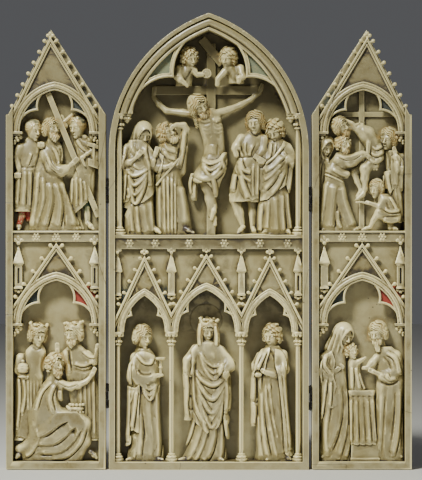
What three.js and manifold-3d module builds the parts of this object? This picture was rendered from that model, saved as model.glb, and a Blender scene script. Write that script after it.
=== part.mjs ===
// A carved Gothic triptych: a deep centre panel with a pointed head and two gabled wings, each carved with its
// figures from one block, joined by four small metal hinges. The wings fold over the front of the centre.
// Millimetres, +Z up, X to the viewer's right, front facing -Y. The origin is on the standing surface, in the
// middle of the whole width and depth.
import * as THREE from 'three';
import Module from 'manifold-3d';
import { mergeVertices } from 'three/addons/utils/BufferGeometryUtils.js';

const wasm = await Module();
wasm.setup();

// ---------------------------------------------------------------- driving dimensions
const CENTRE = { half: 70, height: 320, spring: 222, depth: 28, floor: 23.5, strip: 4.2 };
const WING = { half: 34.85, apex: 309, shoulder: 249, depth: 17, floor: 13.5, strip: 4.7, lift: 0.5 };
const GAP = 2.4;
const HINGE = {
  tall: 17, reach: 2.7, thick: 1.1, set: 0.1, barrel: 1.05, bore: 0.66, pin: 0.42, ahead: 0.3, slack: 0.3,
};
const HINGE_LEVEL = { upper_left: 195.5, lower_left: 52, upper_right: 189.5, lower_right: 50.5 };

// The front plane of all three panels; the whole depth, hinge barrels included, is centred on y = 0.
const FRONT = -(CENTRE.depth - HINGE.ahead - HINGE.barrel) / 2;
const HINGE_X = CENTRE.half + GAP / 2;
const WING_X = CENTRE.half + GAP + WING.half;
const SOLE = { centre: 5.6, centreUpper: 164.5, wing: 5.8, wingUpper: 167 };

// ---------------------------------------------------------------- solids
function solidOf(source) {
  const geometry = source.clone();
  geometry.deleteAttribute('normal');
  geometry.deleteAttribute('uv');
  const merged = mergeVertices(geometry, 1e-4);
  const corners = Array.from(merged.index.array);
  const triangles = [];
  for (let i = 0; i < corners.length; i += 3) {
    const [a, b, c] = corners.slice(i, i + 3);
    if (a !== b && b !== c && c !== a) triangles.push(a, b, c);
  }
  const vertProperties = new Float32Array(merged.attributes.position.array);
  return new wasm.Manifold(new wasm.Mesh({ numProp: 3, vertProperties, triVerts: new Uint32Array(triangles) }));
}

const joined = (geometries) => geometries.map(solidOf).reduce((whole, piece) => whole.add(piece));

// Joining bumpy forms can seal small pockets inside; only the outer skin is kept, so they are solid.
function carved(solid) {
  const shells = solid.decompose();
  shells.sort((a, b) => b.volume() - a.volume());
  const mesh = shells[0].getMesh();
  const geometry = new THREE.BufferGeometry();
  geometry.setAttribute('position', new THREE.BufferAttribute(new Float32Array(mesh.vertProperties), 3));
  geometry.setIndex(Array.from(mesh.triVerts));
  geometry.computeVertexNormals();
  return geometry;
}

// A flat shape in the front view (x, z), solid from depth d0 to d1 behind the front plane.
function slab(shape, d0, d1, curveSegments = 2) {
  const geometry = new THREE.ExtrudeGeometry(shape, { depth: d1 - d0, bevelEnabled: false, curveSegments });
  return geometry.rotateX(Math.PI / 2).translate(0, FRONT + d1, 0);
}

function polygon(corners) {
  return new THREE.Shape(corners.map(([x, z]) => new THREE.Vector2(x, z)));
}

const block = (x0, x1, z0, z1, d0, d1) => slab(polygon([[x0, z0], [x1, z0], [x1, z1], [x0, z1]]), d0, d1);

// An upright turned form: rows of [radius, height] about the line x, at depth d.
function turned(rows, x, d, sides = 8) {
  const closed = [[0, rows[0][1]], ...rows, [0, rows.at(-1)[1]]];
  const profile = closed.map(([r, z]) => new THREE.Vector2(r, z));
  return new THREE.LatheGeometry(profile, sides).rotateX(Math.PI / 2).translate(x, FRONT + d, 0);
}

// A limb or robe: a round form drawn through stations [x, z, depth, half width, half thickness], head end first.
// Pleats push every other side in and out, more towards the last station.
function limb(stations, sides = 5, pleat = 0) {
  const last = stations.length - 1;
  const geometry = new THREE.CylinderGeometry(1, 1, 1, sides, last);
  const place = geometry.attributes.position;
  for (let i = 0; i < place.count; i++) {
    const row = Math.round((0.5 - place.getY(i)) * last);
    const [x, z, d, across, deep] = stations[row];
    const before = stations[Math.max(row - 1, 0)];
    const after = stations[Math.min(row + 1, last)];
    const way = new THREE.Vector2(after[0] - before[0], after[1] - before[1]).normalize();
    const turn = Math.round((Math.atan2(place.getX(i), place.getZ(i)) / Math.PI) * (sides / 2));
    const swell = 1 + pleat * (row / last) * (Math.abs(turn) % 2 ? 1 : -1);
    const u = place.getX(i) * across * swell;
    const v = place.getZ(i) * deep * swell;
    place.setXYZ(i, x - way.y * u, FRONT + d - v, z + way.x * u);
  }
  return geometry;
}

// ---------------------------------------------------------------- tracery
// Adds to a path an arc that bulges to the left of its way by share times the chord.
function swing(path, to, share) {
  const from = path.currentPoint.clone();
  const chord = new THREE.Vector2(...to).sub(from);
  const sagitta = chord.length() * share;
  const radius = (chord.lengthSq() / 4 + sagitta ** 2) / (2 * sagitta);
  const left = new THREE.Vector2(-chord.y, chord.x).normalize();
  const centre = from.clone().addScaledVector(chord, 0.5).addScaledVector(left, sagitta - radius);
  const start = Math.atan2(from.y - centre.y, from.x - centre.x);
  const end = Math.atan2(to[1] - centre.y, to[0] - centre.x);
  path.absarc(centre.x, centre.y, radius, start, end, true);
}

// A pointed arch over a straight-sided opening that starts at level low.
function pointed(x, half, spring, apex, low = spring - 0.01) {
  const rise = apex - spring;
  const radius = (rise ** 2 + half ** 2) / (2 * half);
  const share = (radius - Math.sqrt(radius ** 2 - (rise ** 2 + half ** 2) / 4)) / Math.hypot(rise, half);
  const shape = new THREE.Shape();
  shape.moveTo(x - half, low);
  if (low < spring) shape.lineTo(x - half, spring);
  swing(shape, [x, apex], share);
  swing(shape, [x + half, spring], share);
  if (low < spring) shape.lineTo(x + half, low);
  shape.closePath();
  return shape;
}

// The cusped opening of three lobes under an arch.
function trefoil(x, half, spring, cuspX, cuspZ, apex, low = spring - 2) {
  const shape = new THREE.Shape();
  const lobe = 0.22;
  shape.moveTo(x - half, low);
  shape.lineTo(x - half, spring);
  swing(shape, [x - cuspX, cuspZ], lobe);
  swing(shape, [x, apex], lobe);
  swing(shape, [x + cuspX, cuspZ], lobe);
  swing(shape, [x + half, spring], lobe);
  shape.lineTo(x + half, low);
  shape.closePath();
  return shape;
}

// A ring of moulding between two shapes.
function ringOf(outer, inner, d0, d1, segments = 2) {
  return solidOf(slab(outer, d0, d1, segments)).subtract(solidOf(slab(inner, d0 - 1, d1 + 1, segments)));
}

// A gable's outline: its two slopes climb in knobs from the feet to the peak.
function crocketed({ x, gable, feet, peak, peakX = x, knobs }) {
  const slope = (side) => {
    const foot = x + side * gable;
    const run = new THREE.Vector2(peakX - foot, peak - feet);
    const out = new THREE.Vector2(-run.y, run.x).normalize().multiplyScalar(-side * 2.1);
    const corners = [[foot, feet]];
    for (let i = 0; i < knobs; i++) {
      for (const [t, high] of [[0.12, 0], [0.5, 1]]) {
        const along = (i + t) / knobs;
        corners.push([foot + run.x * along + out.x * high, feet + run.y * along + out.y * high]);
      }
    }
    return corners;
  };
  return polygon([...slope(-1), [peakX, peak], ...slope(1).reverse()]);
}

// One bay: a pointed arch band with cusped tracery under a crocketed gable, in the wall that closes the bay above.
function bay(plan) {
  const { x, half, spring, apex, band, left, right, top, wall, floor } = plan;
  const light = pointed(x, half - band, spring, apex - band, spring - 3);
  const rise = apex - band - spring;
  const cusps = trefoil(x, half - band - 1.4, spring + rise * 0.1, (half - band) * 0.46, spring + rise * 0.46,
    apex - band - 1.4, spring - 2);
  const tracery = 2.8;
  return solidOf(block(left, right, spring, top, wall, floor + 0.5))
    .add(solidOf(slab(crocketed(plan), 1.4, wall + 0.5)))
    .add(solidOf(slab(pointed(x, half, spring, apex), 0.6, floor + 0.5)))
    .subtract(solidOf(slab(light, -2, tracery)))
    .subtract(solidOf(slab(cusps, tracery, floor + 3)));
}

// A pinnacle turret with a pyramid roof, standing on a corbel.
function turret(x, foot, tip, d) {
  const eaves = foot + (tip - foot) * 0.56;
  const wide = 3.2;
  return limb([
    [x, tip, d, 0.5, 0.5], [x, eaves, d, wide * 1.5, wide * 1.2], [x, eaves - 1, d, wide, wide],
    [x, foot, d, wide, wide], [x, foot - 5, d + 1.3, 0.8, 1.6],
  ], 4);
}

const rosette = (x, z, d) => new THREE.ConeGeometry(2.9, 1.6, 4).rotateX(Math.PI).translate(x, FRONT + d, z);

// A column: moulded base, slim shaft, and a bell capital under a square slab.
function column(x, foot, capital, top, radius, d) {
  return turned([
    [radius * 1.9, foot], [radius * 1.7, foot + 3.6], [radius, foot + 6], [radius, capital], [radius * 2.1, top - 1],
  ], x, d, 6);
}

// ---------------------------------------------------------------- figures
// A head on its neck as rows for a limb, with the hair, veil, crown or beard in its outline. The axis leans by
// tilt degrees, positive to the viewer's right. Rows are [height, half width, half depth, set back] in head halves.
function head({ at: [x, z], d, size = 7.2, tilt = 0, wears = '' }) {
  const lean = THREE.MathUtils.degToRad(tilt);
  const top = wears === 'crown' ? [[1.4, 0.84, 0.84, 0], [0.75, 0.7, 0.78, 0]] : [[1.08, 0.4, 0.44, 0.06]];
  const neck = wears === 'veil' ? [-0.8, 1, 0.8, 0.2] : [-0.8, 0.48, 0.56, 0.06];
  const rows = [...top, [0.3, wears ? 0.88 : 0.74, 0.88, 0.04], neck];
  return rows.map(([up, across, deep, back]) => [
    x + Math.sin(lean) * size * up, z + Math.cos(lean) * size * up, d + back * size, across * size, deep * size,
  ]);
}

// An arm through shoulder, elbow and hand, each [x, z, depth].
const arm = (path) => limb(path.map(([x, z, d], i) => [x, z, d, ...Array(2).fill([3.4, 3.1, 1.6][i])]), 4);

// A clothed figure: body rows are [x, z, half width] from the shoulders to the hem, centred at depth d with half
// thickness deep.
function figure({ body, d, deep, pleat = 0.15, face, arms = [] }) {
  const robe = body.map(([bx, bz, wide]) => [bx, bz, d, wide, deep]);
  return [limb([...head({ d: d - 0.5, ...face }), ...robe], 6, pleat), ...arms.map(arm)];
}

// Small things that the figures carry or that hang from them.
const strip = ([x0, z0], [x1, z1], half, d0, d1) => {
  const way = new THREE.Vector2(x1 - x0, z1 - z0).normalize().multiplyScalar(half);
  return slab(polygon([[x0 - way.y, z0 + way.x], [x1 - way.y, z1 + way.x], [x1 + way.y, z1 - way.x],
    [x0 + way.y, z0 - way.x]]), d0, d1);
};

// A swag of cloth that hangs from a hand, widening in stepped folds.
const fall = ([x0, z0], [x1, z1], d, wide) => limb([
  [x0, z0, d, wide * 0.5, 2], [(x0 + x1) / 2, (z0 + z1) / 2, d, wide * 0.8, 2.6], [x1, z1, d, wide, 2.2],
], 5);

// ---------------------------------------------------------------- centre panel, upper scene
function crucified() {
  const reach = (path) => limb(path.map(([x, z, d], i) => [x, z, d, 3 - i * 0.45, 3 - i * 0.45]), 4);
  return [
    block(-38, 36, 262, 267.6, 20, 24.2),
    block(-0.8, 4.8, 164, 300, 20, 24.2),
    strip([-5, 303], [9.5, 285.5], 2.8, 18.5, 24.2),
    limb([
      ...head({ at: [-7.8, 255.7], d: 12.5, size: 7.6, tilt: -28, wears: 'hair' }),
      [0, 247, 15, 7.6, 4.6], [1.2, 241, 15.5, 8.2, 5.6], [3.2, 230, 16.5, 5.9, 5],
      [4.6, 219, 16, 8.6, 6.6], [-1, 204.5, 13.5, 8.6, 7], [2.2, 188, 17, 4, 3.6], [3, 174.5, 16, 3.8, 4.6],
    ], 8),
    reach([[-5, 249, 16], [-29.8, 252.9, 19], [-38.3, 261.5, 20.5], [-38.9, 267.5, 21]]),
    reach([[6.5, 249.5, 16], [23.4, 256.5, 19], [35.5, 264.8, 20.5], [38, 271, 21]]),
  ];
}

function atTheCross() {
  const mother = {
    body: [[-50.3, 224, 8.5], [-49.8, 209, 10.4], [-49.2, 184, 9.5], [-49, 164, 12]],
    d: 15, deep: 9.4, face: { at: [-46.6, 236], tilt: 12, wears: 'veil' },
    arms: [[[-43, 221, 12], [-38.5, 213, 9], [-37, 223, 8]]],
  };
  const lanceBearer = {
    body: [[-28, 224, 9], [-28.6, 204, 9.4], [-24.5, 180, 11.5], [-22, 164, 14]],
    d: 15, deep: 9.4, face: { at: [-29.8, 235], tilt: -25, wears: 'hair' },
    arms: [[[-21, 226, 13], [-14.6, 242, 11], [-22, 240.5, 9]], [[-35, 220, 12], [-34.5, 207, 9], [-25, 213.5, 5.5]]],
  };
  const bucketBearer = {
    body: [[31, 232, 9], [28.4, 219, 8], [27.4, 192, 12]],
    d: 15.5, deep: 8.9, face: { at: [32.9, 243.6], tilt: -5, wears: 'hair' },
    arms: [[[24, 232, 12], [20, 227, 10], [19.2, 221.5, 8.5]]],
  };
  const disciple = {
    body: [[48.6, 226, 9], [47.2, 210, 11], [46.4, 188, 11.5], [46, 164, 13.5]],
    d: 15, deep: 9.4, face: { at: [46.8, 238], tilt: -10, wears: 'hair' },
    arms: [[[56, 223, 12], [58, 213, 9], [53.4, 220, 6]]],
  };
  const leg = (x, foot) => limb([[x, 196, 15.5, 3.6, 4], [x - 0.6, 180, 15.5, 3, 3.6], [foot, 164, 15, 2.6, 4]], 4);
  return [
    ...[mother, lanceBearer, bucketBearer, disciple].flatMap(figure),
    strip([-21.4, 217.7], [-37, 199.5], 0.8, 5, 8.5),
    leg(24, 22.5), leg(31.5, 31.5),
  ];
}

function hoveringAngels() {
  const left = {
    body: [[-16.8, 281, 5.2], [-17, 269.3, 6.2]], d: 18, deep: 6.4, pleat: 0.05,
    face: { at: [-13.6, 288.8], size: 6.3, tilt: 6, wears: 'hair' },
    arms: [[[-13, 279, 15], [-9, 276.5, 13], [-3.5, 278, 12]]],
  };
  const right = {
    body: [[18.4, 282, 5.2], [19, 270, 6.2]], d: 18, deep: 6.4, pleat: 0.05,
    face: { at: [13.4, 290], size: 6.3, tilt: -6, wears: 'hair' },
    arms: [[[14.5, 280, 15], [10, 276, 12], [6, 270.6, 11]]],
  };
  const disc = new THREE.CylinderGeometry(3.4, 3.4, 9, 6).translate(-1.6, FRONT + 15.6, 278.4);
  return [...figure(left), ...figure(right), disc];
}

// ---------------------------------------------------------------- centre panel, the three niches
function queenAndAngels() {
  const angelLeft = {
    body: [[-45.3, 77, 8.5], [-45.4, 60, 11.4], [-44.4, 30, 11.5], [-44.6, 5, 14]],
    d: 15, deep: 9.4, face: { at: [-46.6, 92.3], size: 7.9, tilt: 5, wears: 'hair' },
    arms: [[[-53, 75, 12], [-52, 62, 8], [-35, 66, 6.5]]],
  };
  const queen = {
    body: [[-1.2, 83, 11.5], [1.2, 62, 14], [0, 36, 13], [-1.2, 5, 17.5]],
    d: 14, deep: 10.4, face: { at: [-0.8, 97], size: 7.9, tilt: 8, wears: 'crown' },
    arms: [[[-11, 82, 12], [-15.6, 73, 9], [-13.5, 67, 7]], [[9, 81, 11], [14, 72, 8], [8, 72.5, 4.5]]],
  };
  const angelRight = {
    body: [[44.8, 79.5, 9.5], [44.8, 60, 11], [45.5, 30, 12], [46.8, 5, 13]],
    d: 15, deep: 9.4, face: { at: [44.8, 93], size: 7.9, tilt: -6, wears: 'hair' },
    arms: [[[52, 78, 12], [52, 66, 8], [36, 65.5, 6.5]]],
  };
  return [
    ...[angelLeft, queen, angelRight].flatMap(figure),
    turned([[1.5, 62], [0.9, 75.5], [2.8, 77], [2.8, 78.5]], -33.8, 7, 5),
    fall([34, 65], [34.4, 28], 13.4, 3.6),
    fall([-14, 67], [-13, 42], 13, 3),
  ];
}

// ---------------------------------------------------------------- left wing
function carryingTheCross() {
  const guard = {
    body: [[-17.6, 227, 8], [-19.2, 215, 7], [-23.6, 183, 7]],
    d: 10, deep: 5, face: { at: [-17, 238], size: 7, tilt: 8, wears: 'hair' },
    arms: [[[-24.2, 225, 8], [-27, 216, 5.5], [-25.4, 207, 6]]],
  };
  const bearer = {
    body: [[-2, 224, 8], [-5, 211, 10], [-5.5, 190, 12], [-1, 166.6, 18]],
    d: 8.4, deep: 6.4, face: { at: [-3.8, 237.5], size: 7.4, tilt: 4, wears: 'hair' },
    arms: [[[-7, 222, 5], [1, 208.5, 3.4], [12.5, 215, 4]]],
  };
  const helper = {
    body: [[20.8, 229, 8], [21.6, 215, 8], [17.5, 185, 9]],
    d: 10, deep: 4.8, face: { at: [15.3, 240], size: 7.2, tilt: -6 },
    arms: [[[27.5, 225, 8], [29, 215, 6], [23, 211, 5]]],
  };
  const leg = (x, foot) => limb([[x, 188, 10.5, 2.8, 3.8], [foot, 166.6, 10.4, 2.6, 4]], 4);
  return [
    ...[guard, bearer, helper].flatMap(figure),
    strip([-5.7, 263], [29.6, 178.5], 1.95, 4.6, 13.8),
    leg(-23, -26), leg(21.5, 23),
  ];
}

function kingsAdoring() {
  const young = {
    body: [[-15.8, 82.5, 9], [-17, 65, 10], [-19, 40, 9.5], [-19.6, 21.7, 9.5]],
    d: 10, deep: 4.8, face: { at: [-13, 93.6], size: 7.3, tilt: 5, wears: 'crown' },
    arms: [[[-23.5, 80, 7], [-27, 70, 6], [-22.5, 67.5, 4.4]]],
  };
  const middle = {
    body: [[14.3, 82.5, 9.5], [16, 65, 10], [20, 40, 10], [21, 20, 9.5]],
    d: 10.2, deep: 4.6, face: { at: [12.1, 94.6], size: 7.3, tilt: -5, wears: 'crown' },
    arms: [[[22, 80, 7], [28, 76, 6.5], [28.4, 85, 8]]],
  };
  const kneeling = limb([
    ...head({ at: [-1.3, 72.5], d: 7, size: 7.4, tilt: 14, wears: 'hair' }),
    [-2, 59, 7.3, 8, 5.4], [-8, 42, 7.4, 12, 6.4], [-4.5, 20, 7.6, 20, 6.4], [-4, 5, 7.6, 26, 6.4],
  ], 8, 0.1);
  return [
    ...figure(young), ...figure(middle), kneeling,
    limb([[2, 60, 5.5, 3.4, 3.4], [14, 58, 3.6, 3, 3], [26.4, 69, 8, 2.4, 6]], 4),
    limb([[-4, 36, 6, 7, 5], [18, 34, 5, 5.4, 4], [19.5, 5, 8, 6, 6]], 5),
    turned([[2.9, 38], [3.6, 46]], 15.2, 4, 5),
    turned([[0.9, 64], [3.6, 70.5], [0.6, 76]], -23.6, 5, 5),
  ];
}

// ---------------------------------------------------------------- right wing
function takenFromTheCross() {
  const mother = {
    body: [[-26.2, 216, 7], [-28, 192, 5.2], [-28, 172, 4.6]],
    d: 10.4, deep: 4.4, face: { at: [-25.6, 227.6], size: 6.8, tilt: 8, wears: 'veil' },
  };
  const holder = {
    body: [[-13.5, 218.5, 6.5], [-22, 206, 7.6], [-21.6, 191, 8.6], [-16, 166.6, 14]],
    d: 8.2, deep: 6.4, face: { at: [-14.7, 227.8], size: 7.1, tilt: 16, wears: 'hair' },
    arms: [[[-12, 219, 5], [-3.5, 213, 3.6], [4.5, 222, 3.6]]],
  };
  const mourner = {
    body: [[23.4, 220, 8], [24, 208, 7.5], [25, 172, 8]],
    d: 10.2, deep: 4.8, face: { at: [19.2, 232], size: 7.2, tilt: 12, wears: 'hair' },
    arms: [[[28, 218, 7], [30, 210, 5], [22.4, 222, 4]]],
  };
  const leg = (hip, knee, ankle) => limb([[...hip, 8, 4.2, 4.6], [...knee, 5.4, 3.8, 3.8], [...ankle, 8, 2.3, 2.6]], 4);
  return [
    block(-1.2, 2.3, 166.6, 268, 11.6, 14), block(-25, 23, 247.8, 251.3, 11.6, 14),
    ...[mother, holder, mourner].flatMap(figure),
    limb([
      ...head({ at: [-14.4, 241], d: 7, size: 7.1, tilt: -48, wears: 'hair' }),
      [1.5, 239, 7.4, 6, 6.2], [8, 234, 7.8, 6.4, 6.2], [10, 225, 8, 7, 5.8], [8.5, 217, 8.2, 7.4, 5.8],
    ], 6),
    leg([8, 219], [-4.6, 209.5], [-1.4, 191.5]), leg([9.5, 218], [3.8, 207.5], [1.4, 190]),
    limb([
      ...head({ at: [9.8, 198], d: 6.4, size: 6.6, tilt: -10, wears: 'hair' }),
      [16, 189, 8, 6.4, 6], [20, 180, 8.2, 7.6, 6], [21, 166.6, 8.2, 9, 6],
    ], 6),
    limb([[16, 190, 4.5, 2.8, 2.8], [2.4, 187, 4.6, 1.8, 2.4]], 4),
    limb([[20, 177, 6, 4.4, 4.4], [11, 180, 4.6, 3.9, 3.8], [5.4, 167, 6.6, 2.6, 4]], 4),
  ];
}

function presentation() {
  const mother = {
    body: [[-19.6, 80, 8.5], [-19.8, 62, 9.5], [-18, 35, 9], [-18.4, 5, 11]],
    d: 8.8, deep: 5.6, face: { at: [-13.4, 94.6], size: 7.4, tilt: 12, wears: 'veil' },
    arms: [[[-25.5, 78, 7], [-26.4, 67, 4], [-15, 69.7, 3.4]]],
  };
  const child = {
    body: [[-5.4, 76.4, 4], [-2.9, 54, 7]],
    d: 8.8, deep: 5.6, pleat: 0.06, face: { at: [-7.1, 82.6], size: 5.2, tilt: -6, wears: 'hair' },
    arms: [[[-3, 75, 6], [1, 76.5, 5], [3.4, 80, 4.6]]],
  };
  const elder = {
    body: [[20.6, 80, 9], [21, 60, 10], [19.6, 35, 9.5], [19, 5, 10.5]],
    d: 8.8, deep: 5.6, face: { at: [11.8, 95.2], size: 7.6, tilt: -14, wears: 'hair' },
    arms: [[[26, 78, 7], [19.5, 65.5, 4], [5, 69.7, 3]]],
  };
  return [
    ...[mother, child, elder].flatMap(figure),
    limb([[0.4, 54.6, 9, 9, 5.4], [0.4, 36, 9, 8.6, 5.4], [0.4, 15, 9, 9.6, 5.4]], 8, 0.1),
    block(-7, 12, 5, 17.6, 4.4, 14),
  ];
}

// ---------------------------------------------------------------- panels
// Room in the edge of a frame for a hinge leaf; edge is the panel's edge, way points into the panel.
function hingeSeat(edge, way, level) {
  const deep = HINGE.set + HINGE.thick + HINGE.slack;
  const high = HINGE.tall / 2 + HINGE.slack;
  const inner = edge + way * (HINGE.reach + HINGE.slack);
  const [x0, x1] = [edge - way, inner].sort((a, b) => a - b);
  return solidOf(block(x0, x1, level - high, level + high, -2, deep));
}

const COLUMN_X = [-64.1, -26.2, 22.9, 62.7];
const NICHE = { spring: 96.3, feet: 110.5, top: 155.5, wall: 6, band: 3.6 };
const FRIEZE = { centre: [154.8, 162.6], wing: [160, 165.4] };

function centrePanel() {
  const { half, height, spring, depth, floor, strip: edge } = CENTRE;
  const impost = 249.5;
  const band = 11;
  const outline = pointed(0, half, spring, height, 0);
  const fine = 6;
  const field = solidOf(slab(pointed(0, half - edge, spring, height - edge, SOLE.centre), -1, floor, fine));
  const below = solidOf(block(-half, half, 0, impost, -2, floor + 1));
  const arched = solidOf(slab(pointed(0, half - band, spring, height - band, SOLE.centre), -1, floor, fine));
  let solid = solidOf(slab(outline, 0, depth, fine)).subtract(field.intersect(below)).subtract(arched);

  const lobes = trefoil(0.8, 53, impost + 0.6, 25.6, 275.4, height - 12.6, impost - 3);
  const tracery = ringOf(pointed(0, half - band + 0.5, spring, height - band + 0.5), lobes, 3, 5.8, 4);
  solid = solid.add(tracery.subtract(solidOf(block(-half, half, 0, impost, 0, floor))));

  const [low, high] = FRIEZE.centre;
  solid = solid.add(solidOf(block(-half + 2, half - 2, low, high, 1.6, floor + 1)));
  solid = solid.add(solidOf(block(-half + 2, half - 2, high - 0.3, SOLE.centreUpper, 0.5, floor + 1)));
  const trims = [-55.6, -37.4, -13.7, 10.9, 36, 55.3].map((x) => rosette(x, 159, 1.4));

  for (let i = 0; i < 3; i++) {
    const [c0, c1] = [COLUMN_X[i], COLUMN_X[i + 1]];
    const rise = i === 1 ? 35 : 31;
    const plan = { x: (c0 + c1) / 2, gable: (c1 - c0) / 2 + 0.4, feet: NICHE.feet, peak: i === 1 ? 151.6 : 150, knobs: 5 };
    const walls = { left: i ? c0 : -half + 2, right: i < 2 ? c1 : half - 2, top: NICHE.top, wall: NICHE.wall };
    const arch = { half: (c1 - c0) / 2, spring: NICHE.spring, apex: NICHE.spring + rise, band: NICHE.band };
    solid = solid.add(bay({ ...plan, ...walls, ...arch, floor }));
    trims.push(limb([[plan.x, 158, 2.4, 2.6, 1.6], [plan.x, 150, 2.4, 1, 1.4]], 5));
  }
  for (const x of COLUMN_X) {
    trims.push(column(x, SOLE.centre - 0.3, 87, NICHE.spring + 0.3, 1.85, 4.4));
    trims.push(turret(x, 123.5, 154.8, 4.2));
  }
  for (const side of [-1, 1]) {
    const x = side * 63.6;
    trims.push(column(x, SOLE.centreUpper - 0.3, 238.5, impost + 0.3, 1.95, 4.6));
    trims.push(block(side * 60 - 5.8, side * 60 + 5.8, 246.6, impost + 0.2, 2, floor + 1));
  }
  const figures = [...crucified(), ...atTheCross(), ...hoveringAngels(), ...queenAndAngels()];
  solid = solid.add(joined([...trims, ...figures]));
  solid = solid.intersect(solidOf(slab(outline, 0, depth, fine)));
  for (const [name, level] of Object.entries(HINGE_LEVEL)) {
    const way = name.endsWith('left') ? 1 : -1;
    solid = solid.subtract(hingeSeat(-way * half, way, level));
  }
  return carved(solid);
}

// A wing: outer is the sign of the side that swings free.
function wing(outer, figures, levels) {
  const { half, apex, shoulder, depth, floor, strip: edge, lift } = WING;
  const peakX = outer * 3.7;
  const outlinePlan = polygon([[-half, lift], [half, lift], [half, shoulder], [peakX, apex], [-half, shoulder]]);
  const outline = solidOf(slab(outlinePlan, 0, depth));
  const clear = half - edge;
  let solid = outline.subtract(solidOf(block(-clear, clear, SOLE.wing, apex, -1, floor)));

  const lower = {
    x: 0.3, half: 30.2, spring: 101.6, apex: 138.4, band: 4.8, gable: 31, feet: 113.5, peak: 159, knobs: 5,
    left: -31, right: 31, top: 160.5, wall: 5.5, floor,
  };
  const upper = {
    x: outer * 0.9, half: 30, spring: 236.2, apex: 271.8, band: 4.8, gable: 33.6, feet: 246, peak: 307.4, peakX, knobs: 8,
    left: -31, right: 31, top: 312, wall: 5.5, floor,
  };
  const [low, high] = FRIEZE.wing;
  const [inward, outward] = [peakX, outer * (half + 3)].sort((a, b) => a - b);
  const knobRoom = solidOf(block(inward, outward, shoulder, apex, 0, upper.wall - 0.3));
  solid = solid.add(bay(lower)).add(bay(upper).intersect(outline.add(knobRoom)));
  solid = solid.add(solidOf(block(-31, 31, low, high, 1.6, floor + 1)));
  solid = solid.add(solidOf(block(-31, 31, high - 0.3, SOLE.wingUpper, 0.5, floor + 1)));
  const trims = [-26.5, -13, 0, 13, 26.5].map((x) => rosette(x, 163, 1.4));
  for (const side of [-1, 1]) {
    trims.push(turret(side * 27, 127, 158, 4.2));
    for (const spring of [lower.spring, upper.spring]) {
      trims.push(limb([[side * 28.4, spring + 0.3, 4.6, 3.8, 3.8], [side * 30.4, spring - 8, 5.6, 0.6, 1]], 4));
    }
  }
  solid = solid.add(joined([...trims, ...figures]));
  for (const level of levels) solid = solid.subtract(hingeSeat(-outer * half, outer, level));
  return carved(solid);
}

// ---------------------------------------------------------------- hinges
// One leaf: a plate let into the frame and its knuckles. way points from the pin to the plate; spans are the
// knuckles' [low, high] about the hinge's level.
function hingeLeaf(way, level, spans) {
  const { tall, reach, thick, set, barrel, bore, ahead } = HINGE;
  const wideBox = (x0, x1, z0, z1, d0, d1) => {
    const [a, b] = [way * x0, way * x1].sort((p, q) => p - q);
    return solidOf(block(a, b, level + z0, level + z1, d0, d1));
  };
  let solid = wideBox(barrel + 0.25, GAP / 2 + reach, -tall / 2, tall / 2, set, set + thick);
  for (const [low, high] of spans) {
    const knuckle = turned([[barrel, level + low], [barrel, level + high]], 0, -ahead, 6);
    const tab = wideBox(bore + 0.1, barrel + 0.4, low, high, set, set + 0.6);
    solid = solid.add(solidOf(knuckle)).add(tab);
    solid = solid.subtract(solidOf(turned([[bore, level + low - 1], [bore, level + high + 1]], 0, -ahead, 6)));
  }
  return carved(solid);
}

const ivory = new THREE.MeshStandardMaterial({ color: 0xd9d0ac, roughness: 0.42, metalness: 0 });
const darkMetal = new THREE.MeshStandardMaterial({ color: 0x17161a, roughness: 0.5, metalness: 0.8 });
const triptych = new THREE.Group();

function place(name, geometry, material, x = 0) {
  const mesh = new THREE.Mesh(geometry, material);
  mesh.name = name;
  mesh.position.set(x, 0, 0);
  triptych.add(mesh);
}

const leftLevels = [HINGE_LEVEL.upper_left, HINGE_LEVEL.lower_left];
const rightLevels = [HINGE_LEVEL.upper_right, HINGE_LEVEL.lower_right];
place('centre_panel', centrePanel(), ivory);
place('left_wing', wing(-1, [...carryingTheCross(), ...kingsAdoring()], leftLevels), ivory, -WING_X);
place('right_wing', wing(1, [...takenFromTheCross(), ...presentation()], rightLevels), ivory, WING_X);

for (const [name, level] of Object.entries(HINGE_LEVEL)) {
  const side = name.endsWith('left') ? -1 : 1;
  const third = HINGE.tall / 6;
  const play = 0.15;
  const ends = [[-third * 3, -third - play], [third + play, third * 3]];
  const middle = [[-third + play, third - play]];
  place(`${name}_hinge_centre_leaf`, hingeLeaf(-side, level, ends), darkMetal, side * HINGE_X);
  place(`${name}_hinge_wing_leaf`, hingeLeaf(side, level, middle), darkMetal, side * HINGE_X);
  const reach = HINGE.tall / 2 + 0.5;
  const pin = turned([[HINGE.pin, level - reach], [HINGE.pin, level + reach]], 0, -HINGE.ahead, 6);
  place(`${name}_hinge_pin`, carved(solidOf(pin)), darkMetal, side * HINGE_X);
}

export default triptych;
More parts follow.
